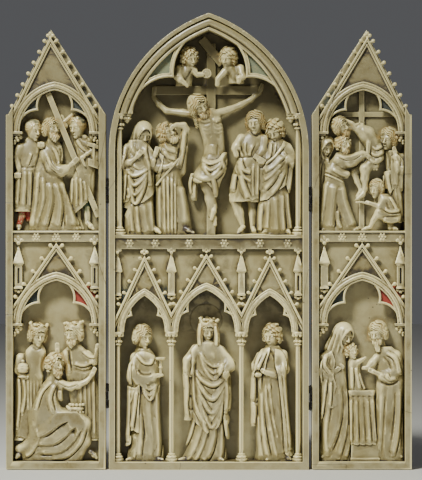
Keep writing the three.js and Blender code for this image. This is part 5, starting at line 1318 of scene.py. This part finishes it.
mother.sheet(
    1.2, (-26.4, 80), (-21, 83.4), (-18.6, 76), (-20, 66), (-17.6, 58), (-19.4, 53), (-16.8, 48), (-17.8, 44.4),
    (-23.4, 42), (-24.6, 50), (-26.8, 44), (-28.6, 30), (-29, 50), (-30.4, 66), soft=False)
mother.folds(
    (1, 1.1, (-24.6, 64), (-26, 52), (-28, 36)), (1, 1.2, (-21.6, 62), (-21.6, 54), (-22.4, 44)),
    (0.8, -1, (-23.4, 60), (-23.4, 52), (-24.4, 46)), (0.9, 0.9, (-28, 78), (-28.8, 68), (-28, 60)),
    (1.1, 1, (-24.6, 80), (-25.6, 73), (-22, 67.4)), (0.8, -0.9, (-21.8, 79), (-22.8, 73.6), (-20.4, 69.4)))
mother.join()
head(right_wing, (-12.6, 8.4, 94.4), 14.8, 10, 42, 16, "veil")
hands(right_wing,
    ((-21, 4.4, 66), (-18.6, 3.4, 69), (-15.4, 3.4, 71.6), 1),
    ((-18.4, 6, 74), (-15.4, 4.6, 73.4), (-12.4, 4.4, 71.6), 0.95))
foot(right_wing, (-23.6, 8, 10.6), (-27.6, 5.6, 8.8), 1.1)

altar = Cloth(right_wing, -13, 14, 14, 58, 0.3, 14)
altar.body([
    (55.4, 0, 9.4, 9, 6), (54, 0, 9.6, 9, 6), (50, 0.2, 8.8, 9.2, 5.4), (30, 0.8, 8.6, 9.2, 5.4),
    (17.4, 1.4, 9.4, 9.2, 5.8)], 5)
altar.pleats([(-7.4, 51), (7.6, 51)], [(-7.6, 18), (10.4, 18)], 5, 1.35, 1.3)
altar.fold(0.8, -1, (-9, 51.4), (0, 51), (9.4, 51.4))
altar.join(0.3)
right_wing.plank((-10, 1, 5), (15, 14, 18), (2.4, 11), (9.7, 6.2), 4.4, 14, 0.1)
right_wing.plank((-11, 1, 5), (16, 14, 10), (2.4, 6.6), (10.2, 1.6), 3.4, 14, 0.1)

child = Cloth(right_wing, -12, 8, 52, 80, 0.3, 14)
child.body([
    (78, -6, 2.6, 8.8, 3), (75, -5.4, 4.2, 8.6, 4), (66, -5, 4.4, 8.4, 4.4), (58, -3.8, 5.4, 8.4, 4.6),
    (54, -2.6, 6.4, 8.6, 4.8)])
child.sleeve([(-2.6, 6.6, 75, 2), (0.6, 5.6, 77, 1.5)])
child.folds(
    (1, 1.1, (-6.8, 72), (-6.4, 64), (-6.6, 56)), (1.1, 1.2, (-3.6, 72), (-2.6, 64), (-1, 56)),
    (0.9, 1, (-1.6, 68), (0.6, 61), (3, 56)))
child.join(0.3)
right_wing.rod([(0.6, 5.4, 77, 1.1), (2.6, 5, 78.4, 0.9)], 0.3)
head(right_wing, (-7.2, 8, 82.6), 10.6, -6, 30, -4, "curls")

elder = Cloth(right_wing, 2, 33, 6, 88, 0.3, 14)
elder.body([
    (86, 16, 4, 9.6, 3.8), (82, 19, 8.2, 9.4, 4.8), (74, 21, 9.6, 9.2, 5.4), (62, 20.6, 10, 9, 5.6),
    (46, 19.4, 9.6, 8.8, 5.6), (26, 19.6, 9.8, 9, 5.4), (6, 19.6, 10.8, 9.2, 5.2)])
elder.sleeve([(24, 7.6, 79, 4.6), (23.4, 6.4, 69, 4.6), (18.6, 5.4, 64.4, 3.8), (14.2, 4.6, 65.4, 2.8)], 2)
elder.sleeve([(11, 8, 78, 3.2), (7.4, 6.6, 74.4, 2.6), (5, 5.6, 72, 2)])
elder.folds(
    (1.2, 1, (17, 82), (24, 77), (27.6, 67)), (0.9, -0.9, (14.6, 80), (19, 75), (20.6, 70)),
    (0.9, -1.2, (12.4, 61.4), (19.6, 59.4), (26.6, 62.6)), (1, 0.9, (17.4, 68), (19.4, 63.4), (24.6, 63.6)),
    (2, 0.8, (14.6, 56), (13.4, 40), (12.6, 24), (11.6, 10)),
    (1.5, 1.3, (26.8, 58), (26.6, 41), (25.2, 24), (22.4, 10)),
    (0.9, -1.4, (24, 57), (23.4, 41), (21.4, 22), (19.8, 9)), (0.9, -0.9, (24.8, 33), (27.6, 26), (28.4, 14)))
elder.join()
right_wing.rod([(14.6, 4.6, 65.6, 1.9), (10.6, 3.8, 67.6, 1.5)], 0.4)
hands(right_wing,
    ((10.8, 3.8, 67.4), (8, 3.2, 68.8), (4.8, 3.4, 70.2), 1),
    ((5, 5.4, 70.4), (2.8, 4.6, 71.4), (0.4, 4.8, 71.4), 0.85))
head(right_wing, (11.8, 8.4, 95.4), 14.6, -8, -34, 6, "waves", 0.34)
foot(right_wing, (24, 8, 10.6), (27.8, 5.6, 8.8), 1.1)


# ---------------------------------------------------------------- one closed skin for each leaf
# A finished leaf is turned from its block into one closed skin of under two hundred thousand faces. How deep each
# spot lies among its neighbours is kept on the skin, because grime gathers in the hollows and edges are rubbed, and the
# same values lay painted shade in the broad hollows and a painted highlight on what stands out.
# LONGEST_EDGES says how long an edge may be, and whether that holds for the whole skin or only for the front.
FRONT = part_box("centre_panel")[0][1] / MM
# Colours laid on through the tints. The dark brown one is painted shade, for the heads of the lower niches, the frieze,
# the middle gable's panel and the upper wall of the right wing.
PAINTS = {
    "hair": (0.40, 0.28, 0.10), "shoe": (0.05, 0.035, 0.03), "red": (0.30, 0.035, 0.02), "green": (0.025, 0.06, 0.025),
    "night": (0.02, 0.03, 0.028), "sage": (0.16, 0.19, 0.12), "painted_shade": (0.045, 0.034, 0.014),
}
LONGEST_EDGES = ((24, True), (12, True), (6, False))
SHARP_ANGLE = 50
BACK_RIM = 0.8


def softened(solid, reach):
    for axis in range(3):
        size = 2 * reach + 1
        pad = [(0, 0)] * 3
        pad[axis] = (reach + 1, reach)
        total = np.cumsum(np.pad(solid, pad, mode="edge"), axis=axis, dtype=np.float32)
        ahead, behind = [slice(None)] * 3, [slice(None)] * 3
        ahead[axis], behind[axis] = slice(size, None), slice(0, -size)
        solid = (total[tuple(ahead)] - total[tuple(behind)]) / size
    return solid


def finish_leaf(block, node, faces):
    low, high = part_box(node)
    middle = (low[0] + high[0]) / 2 / MM
    x, d, z = block.whole()[1]
    beyond = np.maximum(np.abs(x) - (high[0] - low[0]) / 2 / MM, d - (high[1] - low[1]) / MM)
    block.field = np.maximum(block.field, beyond)
    band = 3 * PITCH
    volume = openvdb.FloatGrid(band)
    volume.copyFromArray(np.clip(block.field, -band, band), tolerance=1e-4)
    points, triangles, quads = volume.convertToPolygons(isovalue=0.0, adaptivity=0.02)
    start = np.array([axis[0] for axis in block.axes], np.float32)
    points = (points * PITCH + start + np.array([middle, FRONT, 0], np.float32)) * MM
    mesh = bpy.data.meshes.new(node + "_carved")
    mesh.vertices.add(len(points))
    mesh.vertices.foreach_set("co", points.ravel())
    corners = np.concatenate([triangles[:, ::-1].ravel(), quads[:, ::-1].ravel()]).astype(np.int32)
    sizes = np.concatenate([np.full(len(triangles), 3), np.full(len(quads), 4)])
    mesh.loops.add(len(corners))
    mesh.loops.foreach_set("vertex_index", corners)
    mesh.polygons.add(len(sizes))
    mesh.polygons.foreach_set("loop_start", np.concatenate([[0], np.cumsum(sizes)[:-1]]).astype(np.int32))
    mesh.update(calc_edges=True)
    mesh.validate()
    leaf = bpy.data.objects.new(node + "_carved", mesh)
    bpy.context.scene.collection.objects.link(leaf)
    count = len(triangles) + 2 * len(quads)
    if count > faces:
        thin = leaf.modifiers.new("thin", "DECIMATE")
        thin.ratio = faces / count
        carved = bpy.data.meshes.new_from_object(leaf.evaluated_get(bpy.context.evaluated_depsgraph_get()))
        leaf.modifiers.clear()
        leaf.data = carved
        bpy.data.meshes.remove(mesh)
        mesh = carved
    form = bmesh.new()
    form.from_mesh(mesh)
    bmesh.ops.triangulate(form, faces=form.faces)
    if form.calc_volume(signed=True) < 0:
        bmesh.ops.reverse_faces(form, faces=form.faces)
    for longest, everywhere in LONGEST_EDGES:
        long_edges = [e for e in form.edges if e.calc_length() > longest * MM
                      and (everywhere or min(f.normal.y for f in e.link_faces) < -0.4)]
        bmesh.ops.subdivide_edges(form, edges=long_edges, cuts=1)
        bmesh.ops.triangulate(form, faces=[f for f in form.faces if len(f.verts) > 3])
    form.to_mesh(mesh)
    form.free()
    mesh.shade_smooth()
    mesh.set_sharp_from_angle(angle=math.radians(SHARP_ANGLE))

    even = leaf.modifiers.new("even", "WEIGHTED_NORMAL")
    even.keep_sharp, even.weight = True, 60
    finished = bpy.data.meshes.new_from_object(leaf.evaluated_get(bpy.context.evaluated_depsgraph_get()))
    leaf.modifiers.clear()
    leaf.data = finished
    bpy.data.meshes.remove(mesh)
    mesh = finished

    spots = np.empty(len(mesh.vertices) * 3, np.float32)
    mesh.vertices.foreach_get("co", spots)
    spots = spots.reshape(-1, 3) / MM - np.array([middle, FRONT, 0], np.float32)
    solid = (block.field < 0).astype(np.float32)
    for name, reach_mm in (("crease", 1.1), ("hollow", 4.0)):
        soft = softened(solid, max(1, round(reach_mm / PITCH)))
        index = [np.clip(np.round((spots[:, i] - start[i]) / PITCH).astype(int), 0, soft.shape[i] - 1)
                 for i in range(3)]
        values = soft[tuple(index)].astype(np.float32)
        values[spots[:, 1] > (high[1] / MM - FRONT) - BACK_RIM] = 0.5
        attribute = mesh.attributes.new(name, "FLOAT", "POINT")
        attribute.data.foreach_set("value", values)
    facing = np.empty(len(spots) * 3, np.float32)
    mesh.vertex_normals.foreach_get("vector", facing)
    for name, least, span in (("flat", 0.95, 0.04), ("fore", 0.3, 0.4)):
        attribute = mesh.attributes.new(name, "FLOAT", "POINT")
        attribute.data.foreach_set("value", np.clip((-facing.reshape(-1, 3)[:, 1] - least) / span, 0, 1))
    layer = mesh.color_attributes.new("paint", "FLOAT_COLOR", "POINT")
    colours = np.zeros((len(spots), 4), np.float32)
    for near, far, colour, weight, where in block.paints:
        inside = np.all((spots >= np.array(near)) & (spots <= np.array(far)), axis=1)
        cover = inside * weight
        if colour == "hair":
            at, axes, wears, beard = where
            u, v, w = axes @ (spots - at).T
            close = np.sqrt(u * u + v * v + w * w) < (0.66 if wears != "veil" else 0)
            chin = (w < -0.2) & (w > -0.75) & (v > 0.2) & (beard > 0) & (np.abs(u) < 0.22)
            lowest = -0.85 if wears == "long" else -0.36
            locks = (np.hypot(u / 0.27, (w + 0.11) / 0.43) > 1) & (w > lowest) & (w < 0.6)
            cover = inside * close * (locks | chin) * weight
        elif where:
            a, b = np.array(where[0]), np.array(where[1])
            t = np.clip((spots - a) @ (b - a) / ((b - a) @ (b - a)), 0, 1)
            cover = cover * (np.linalg.norm(spots - a - t[:, None] * (b - a), axis=1) < where[2])
        better = cover > colours[:, 3]
        colours[better, :3] = PAINTS[colour]
        colours[better, 3] = cover[better]
    layer.data.foreach_set("color", colours.ravel())
    return leaf


LEAVES = [(centre, "centre_panel", "centre", 162000), (left_wing, "left_wing", "left_wing", 178000),
          (right_wing, "right_wing", "right_wing", 178000)]
leaves = []
for block, node, body, faces in LEAVES:
    leaf = finish_leaf(block, node, faces)
    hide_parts(node)
    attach(leaf, body)
    leaves.append(leaf)


# ---------------------------------------------------------------- old ivory
# The finish of the leaves: ivory once polished and now cream, rubbed pale with a painted highlight on whatever stands
# out, with a brown and greenish grime in the hollows and painted shade in the broad hollows, painted shade on faces
# turned to the front, at the tops of the deep recesses and towards the top of the leaves, faint grain up the tusk,
# small pits, hairline cracks and scraps of old paint.
def group_of(name, inputs, outputs):
    group = bpy.data.node_groups.new(name, "ShaderNodeTree")
    for label, kind, value in inputs:
        socket = group.interface.new_socket(label, in_out="INPUT", socket_type="NodeSocket" + kind)
        if value is not None:
            socket.default_value = value
    for label, kind in outputs:
        group.interface.new_socket(label, in_out="OUTPUT", socket_type="NodeSocket" + kind)
    return group, group.nodes.new("NodeGroupInput"), group.nodes.new("NodeGroupOutput")


class Wiring:
    def __init__(self, tree):
        self.tree = tree

    def node(self, kind, **values):
        node = self.tree.nodes.new("ShaderNode" + kind)
        for key, value in values.items():
            if key == "inputs":
                for socket, setting in value.items():
                    self.set(node.inputs[socket], setting)
            else:
                setattr(node, key, value)
        return node

    def set(self, socket, value):
        if isinstance(value, bpy.types.NodeSocket):
            self.tree.links.new(value, socket)
        else:
            socket.default_value = value

    def sum(self, operation, a, b=0.0, clamp=False):
        return self.node("Math", operation=operation, use_clamp=clamp, inputs={0: a, 1: b}).outputs[0]

    def times(self, a, b, clamp=False):
        return self.sum("MULTIPLY", a, b, clamp)

    def plus(self, a, b):
        return self.sum("ADD", a, b)

    def less(self, a, b, clamp=False):
        return self.sum("SUBTRACT", a, b, clamp)

    def stored(self, name):
        return self.node("Attribute", attribute_name=name).outputs["Fac"]

    def ramp(self, value, low, high, start=0.0, end=1.0):
        return self.node("MapRange", interpolation_type="SMOOTHSTEP", inputs={
            "Value": value, "From Min": low, "From Max": high, "To Min": start, "To Max": end}).outputs[0]

    def mix(self, share, a, b, blend="MIX"):
        node = self.node("Mix", data_type="RGBA", blend_type=blend)
        for i, value in ((0, share), (6, a), (7, b)):
            self.set(node.inputs[i], value)
        return node.outputs[2]

    def noise(self, place, scale, detail=3.0, rough=0.55):
        return self.node("TexNoise", inputs={
            "Vector": place, "Scale": scale, "Detail": detail, "Roughness": rough}).outputs[0]


# Hairline cracks along a straight run on the front, with a slight wander.
crack_group, crack_in, crack_out = group_of("hairline", [
    ("Place", "Vector", None), ("Start", "Vector", None), ("Along", "Vector", None), ("Length", "Float", 0.02),
    ("Width", "Float", 0.0002)], [("Mask", "Float")])
w = Wiring(crack_group)
away = w.node("VectorMath", operation="SUBTRACT", inputs={
    0: crack_in.outputs["Place"], 1: crack_in.outputs["Start"]}).outputs[0]
run = w.node("VectorMath", operation="DOT_PRODUCT", inputs={0: away, 1: crack_in.outputs["Along"]}).outputs["Value"]
flat = w.node("VectorMath", operation="MULTIPLY", inputs={0: away, 1: (1, 0, 1)}).outputs[0]
side = w.node("VectorMath", operation="CROSS_PRODUCT", inputs={0: flat, 1: crack_in.outputs["Along"]}).outputs[0]
gap = w.node("VectorMath", operation="LENGTH", inputs={0: side}).outputs["Value"]
thin = w.less(1.0, w.sum("DIVIDE", gap, crack_in.outputs["Width"]), True)
within = w.times(w.sum("GREATER_THAN", run, 0.0), w.sum("LESS_THAN", run, crack_in.outputs["Length"]))
w.set(crack_out.inputs["Mask"], w.times(thin, within))


def ivory_finish(name, cracks, dust_and_shade_share):
    material = bpy.data.materials.new(name)
    material.use_nodes = True
    w = Wiring(material.node_tree)
    shader = material.node_tree.nodes["Principled BSDF"]
    place = w.node("TexCoord").outputs["Object"]
    crease = w.stored("crease")
    hollow = w.stored("hollow")
    paint = w.node("Attribute", attribute_name="paint")
    broad = w.noise(place, 16.0, 4.0, 0.6)
    mottle = w.noise(place, 90.0, 5.0, 0.62)
    fine = w.noise(place, 620.0, 3.0)
    grain_place = w.node("Mapping", inputs={"Vector": place, "Scale": (1500.0, 900.0, 26.0)}).outputs[0]
    grain = w.noise(grain_place, 1.0, 2.0)

    split_place = w.node("SeparateXYZ", inputs={"Vector": place}).outputs
    # Painted shade on the deep back walls of the recesses that face forward, growing darker upwards from 0.232 m to
    # 0.278 m.
    fore = w.stored("fore")
    inner = w.times(w.ramp(split_place["Y"], FRONT * MM + 0.009, FRONT * MM + 0.0235), fore)
    painted_shade = w.ramp(split_place["Z"], 0.232, 0.278, 0.14, 0.93)

    cream = w.mix(w.ramp(broad, 0.35, 0.68), (0.33, 0.285, 0.15, 1), (0.27, 0.215, 0.08, 1))
    cream = w.mix(w.ramp(mottle, 0.42, 0.72, 0.0, 0.5), cream, (0.21, 0.165, 0.06, 1))
    cream = w.mix(w.ramp(grain, 0.45, 0.75, 0.0, 0.2), cream, (0.18, 0.135, 0.045, 1))
    # Rubbed wear and painted highlight together: paler wherever the surface stands out from its neighbours, on fine
    # edges and on broad swellings.
    rub_and_highlight = w.sum("MAXIMUM", w.ramp(w.plus(crease, w.times(mottle, 0.06)), 0.52, 0.36),
                w.ramp(hollow, 0.495, 0.34, 0.0, 1.0))
    cream = w.mix(w.times(rub_and_highlight, 0.9), cream, (0.90, 0.795, 0.43, 1))

    # Painted shade on faces turned squarely to the front, most on those nearest the front plane.
    flat = w.stored("flat")
    proud = w.ramp(split_place["Y"], FRONT * MM + 0.0015, FRONT * MM + 0.0045, 0.82, 0.55)
    plain = w.mix(w.ramp(mottle, 0.4, 0.65), (0.265, 0.232, 0.132, 1), (0.20, 0.163, 0.078, 1))
    cream = w.mix(w.times(flat, proud), cream, plain)

    dust_and_shade = w.plus(hollow, w.times(w.less(broad, 0.5), 0.14))
    # Painted shade laid at the tops of the deep recesses.
    body = w.mix(w.times(inner, painted_shade), cream, (0.072, 0.054, 0.018, 1))
    # Dust and painted shade together: darker where the surface lies deep among its neighbours, by the share given for
    # each leaf.
    body = w.mix(w.ramp(dust_and_shade, 0.53, 0.78, 0.0, dust_and_shade_share), body, (0.125, 0.105, 0.036, 1))
    grime = w.plus(crease, w.times(w.less(mottle, 0.5), 0.22))
    body = w.mix(w.ramp(grime, 0.525, 0.65, 0.0, 0.85), body, (0.17, 0.125, 0.036, 1))
    # Painted shade: every leaf grows darker upwards from 0.12 m to 0.27 m.
    body = w.mix(w.ramp(split_place["Z"], 0.12, 0.27, 0.0, 0.42), body, (0.085, 0.07, 0.03, 1))
    deep = w.ramp(grime, 0.58, 0.72)
    body = w.mix(w.times(deep, 0.95), body, (0.022, 0.014, 0.007, 1))

    worn = w.ramp(w.plus(mottle, w.times(w.less(crease, 0.5), 0.9)), 0.33, 0.52)
    cover = w.times(paint.outputs["Alpha"], worn, True)
    body = w.mix(cover, body, paint.outputs["Color"])

    pits = w.node("TexVoronoi", inputs={"Vector": place, "Scale": 210.0})
    chosen = w.ramp(w.noise(place, 47.0, 1.0), 0.60, 0.66)
    pit = w.times(w.ramp(pits.outputs["Distance"], 0.16, 0.06), chosen)
    body = w.mix(w.times(pit, 0.8), body, (0.05, 0.035, 0.02, 1))
    wander = w.node("TexNoise", inputs={"Vector": place, "Scale": 130.0, "Detail": 1.0}).outputs["Color"]
    shifted = w.node("VectorMath", operation="MULTIPLY_ADD", inputs={
        0: wander, 1: (0.0016, 0.0016, 0.0016), 2: place}).outputs[0]
    split = None
    for start, along, length, width in cracks:
        node = w.tree.nodes.new("ShaderNodeGroup")
        node.node_tree = crack_group
        w.set(node.inputs["Place"], shifted)
        for label, value in (("Start", start), ("Along", along), ("Length", length), ("Width", width)):
            node.inputs[label].default_value = value
        split = node.outputs["Mask"] if split is None else w.sum("MAXIMUM", split, node.outputs["Mask"])
    if split is not None:
        body = w.mix(w.times(split, 0.9), body, (0.05, 0.035, 0.02, 1))
    w.set(shader.inputs["Base Color"], body)

    gloss = w.plus(w.ramp(grime, 0.5, 0.72, 0.36, 0.68), w.times(w.less(mottle, 0.5), 0.2))
    w.set(shader.inputs["Roughness"], w.less(gloss, w.times(rub_and_highlight, 0.06)))
    height = w.plus(w.times(mottle, 0.5), w.times(fine, 0.22))
    height = w.plus(height, w.times(grain, 0.12))
    height = w.less(height, w.times(pit, 0.6))
    if split is not None:
        height = w.less(height, split)
    bump = w.node("Bump", inputs={"Strength": 0.35, "Distance": 0.0004, "Height": height})
    w.set(shader.inputs["Normal"], bump.outputs[0])
    shader.inputs["Subsurface Weight"].default_value = 0.12
    shader.inputs["Subsurface Radius"].default_value = (1.0, 0.7, 0.4)
    shader.inputs["Subsurface Scale"].default_value = 0.0012
    shader.inputs["IOR"].default_value = 1.54
    return material


def slant(degrees):
    return (math.cos(math.radians(degrees)), 0, math.sin(math.radians(degrees)))


CRACKS = [
    [((-0.0195, 0, 0.0), slant(90), 0.006, 0.00025), ((-0.0693, 0, 0.196), slant(62), 0.05, 0.00025),
     ((0.0655, 0, 0.112), slant(80), 0.03, 0.00022)],
    [((-0.1425, 0, 0.188), slant(0), 0.006, 0.0003), ((-0.0772, 0, 0.206), slant(80), 0.036, 0.0003),
     ((-0.1425, 0, 0.1095), slant(-2), 0.006, 0.0003), ((-0.0768, 0, 0.148), slant(-72), 0.03, 0.0003),
     ((-0.0955, 0, 0.2790), slant(-52), 0.028, 0.0002)],
    [((0.0843, 0, 0.2470), slant(73.9), 0.046, 0.0006), ((0.0745, 0, 0.198), slant(70), 0.032, 0.0003),
     ((0.1360, 0, 0.0425), slant(-14), 0.008, 0.0003), ((0.1375, 0, 0.208), slant(0), 0.005, 0.0004),
     ((0.0735, 0, 0.0046), slant(0), 0.0235, 0.00028), ((0.097, 0, 0.0008), slant(90), 0.004, 0.00028)],
]
for leaf, cracks in zip(leaves, CRACKS):
    leaf.data.materials.append(ivory_finish("old_ivory_" + leaf.name, cracks, 0.85 if leaf is leaves[0] else 0.4))

# ---------------------------------------------------------------- the hinges
# Four small hinges, each two iron leaves let into the edges of the frames and folded round one pin, gone black.
def iron_finish():
    material = bpy.data.materials.new("blackened_iron")
    material.use_nodes = True
    w = Wiring(material.node_tree)
    shader = material.node_tree.nodes["Principled BSDF"]
    place = w.node("TexCoord").outputs["Object"]
    crust = w.noise(place, 420.0, 6.0, 0.65)
    broad = w.noise(place, 90.0, 3.0)
    body = w.mix(w.ramp(crust, 0.42, 0.66), (0.012, 0.012, 0.014, 1), (0.035, 0.030, 0.028, 1))
    body = w.mix(w.ramp(broad, 0.55, 0.72, 0.0, 0.5), body, (0.055, 0.032, 0.018, 1))
    w.set(shader.inputs["Base Color"], body)
    w.set(shader.inputs["Metallic"], w.ramp(crust, 0.5, 0.7, 0.85, 0.35))
    w.set(shader.inputs["Roughness"], w.ramp(crust, 0.35, 0.7, 0.42, 0.72))
    bump = w.node("Bump", inputs={"Strength": 0.5, "Distance": 0.0003, "Height": crust})
    w.set(shader.inputs["Normal"], bump.outputs[0])
    return material


iron = iron_finish()
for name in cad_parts:
    if "hinge" in name:
        metal = bpy.data.objects[name]
        metal.data.materials.clear()
        metal.data.materials.append(iron)


# ---------------------------------------------------------------- the table, the light and the camera
floor_form = bmesh.new()
bmesh.ops.create_grid(floor_form, x_segments=1, y_segments=1, size=3.0)
floor_mesh = bpy.data.meshes.new("table_top")
floor_form.to_mesh(floor_mesh)
floor_form.free()
floor = bpy.data.objects.new("table_top", floor_mesh)
bpy.context.scene.collection.objects.link(floor)
plain = bpy.data.materials.new("pale_table")
plain.use_nodes = True
plain.node_tree.nodes["Principled BSDF"].inputs["Base Color"].default_value = (0.62, 0.61, 0.59, 1)
plain.node_tree.nodes["Principled BSDF"].inputs["Roughness"].default_value = 0.8
floor_mesh.materials.append(plain)

world = bpy.data.worlds.new("studio")
bpy.context.scene.world = world
world.use_nodes = True
world.node_tree.nodes["Background"].inputs["Color"].default_value = (0.93, 0.95, 1.0, 1)
world.node_tree.nodes["Background"].inputs["Strength"].default_value = 0.10
LAMPS = (("soft_window", (-0.42, -0.78, 1.08), 0.28, 28.0), ("soft_fill", (0.9, -1.3, 0.3), 0.9, 2.0))
for name, at, size, power in LAMPS:
    lamp = bpy.data.lights.new(name, "AREA")
    lamp.size, lamp.energy, lamp.color = size, power, (0.985, 1.0, 0.90)
    light = bpy.data.objects.new(name, lamp)
    light.location = at
    light.rotation_euler = (Vector((0, 0, 0.16)) - Vector(at)).to_track_quat("-Z", "Y").to_euler()
    bpy.context.scene.collection.objects.link(light)

SENSOR, PLANE_DISTANCE, SEEN_HEIGHT = 36, 1.7365, 0.336
lens = bpy.data.cameras.new("view")
camera = bpy.data.objects.new("view", lens)
camera.location = (0.0015, -1.75, 0.161)
camera.rotation_euler = (math.pi / 2, 0, 0)
lens.sensor_width = lens.sensor_height = SENSOR
lens.lens = SENSOR * PLANE_DISTANCE / SEEN_HEIGHT
lens.sensor_fit = "VERTICAL"
bpy.context.scene.collection.objects.link(camera)
bpy.context.scene.camera = camera
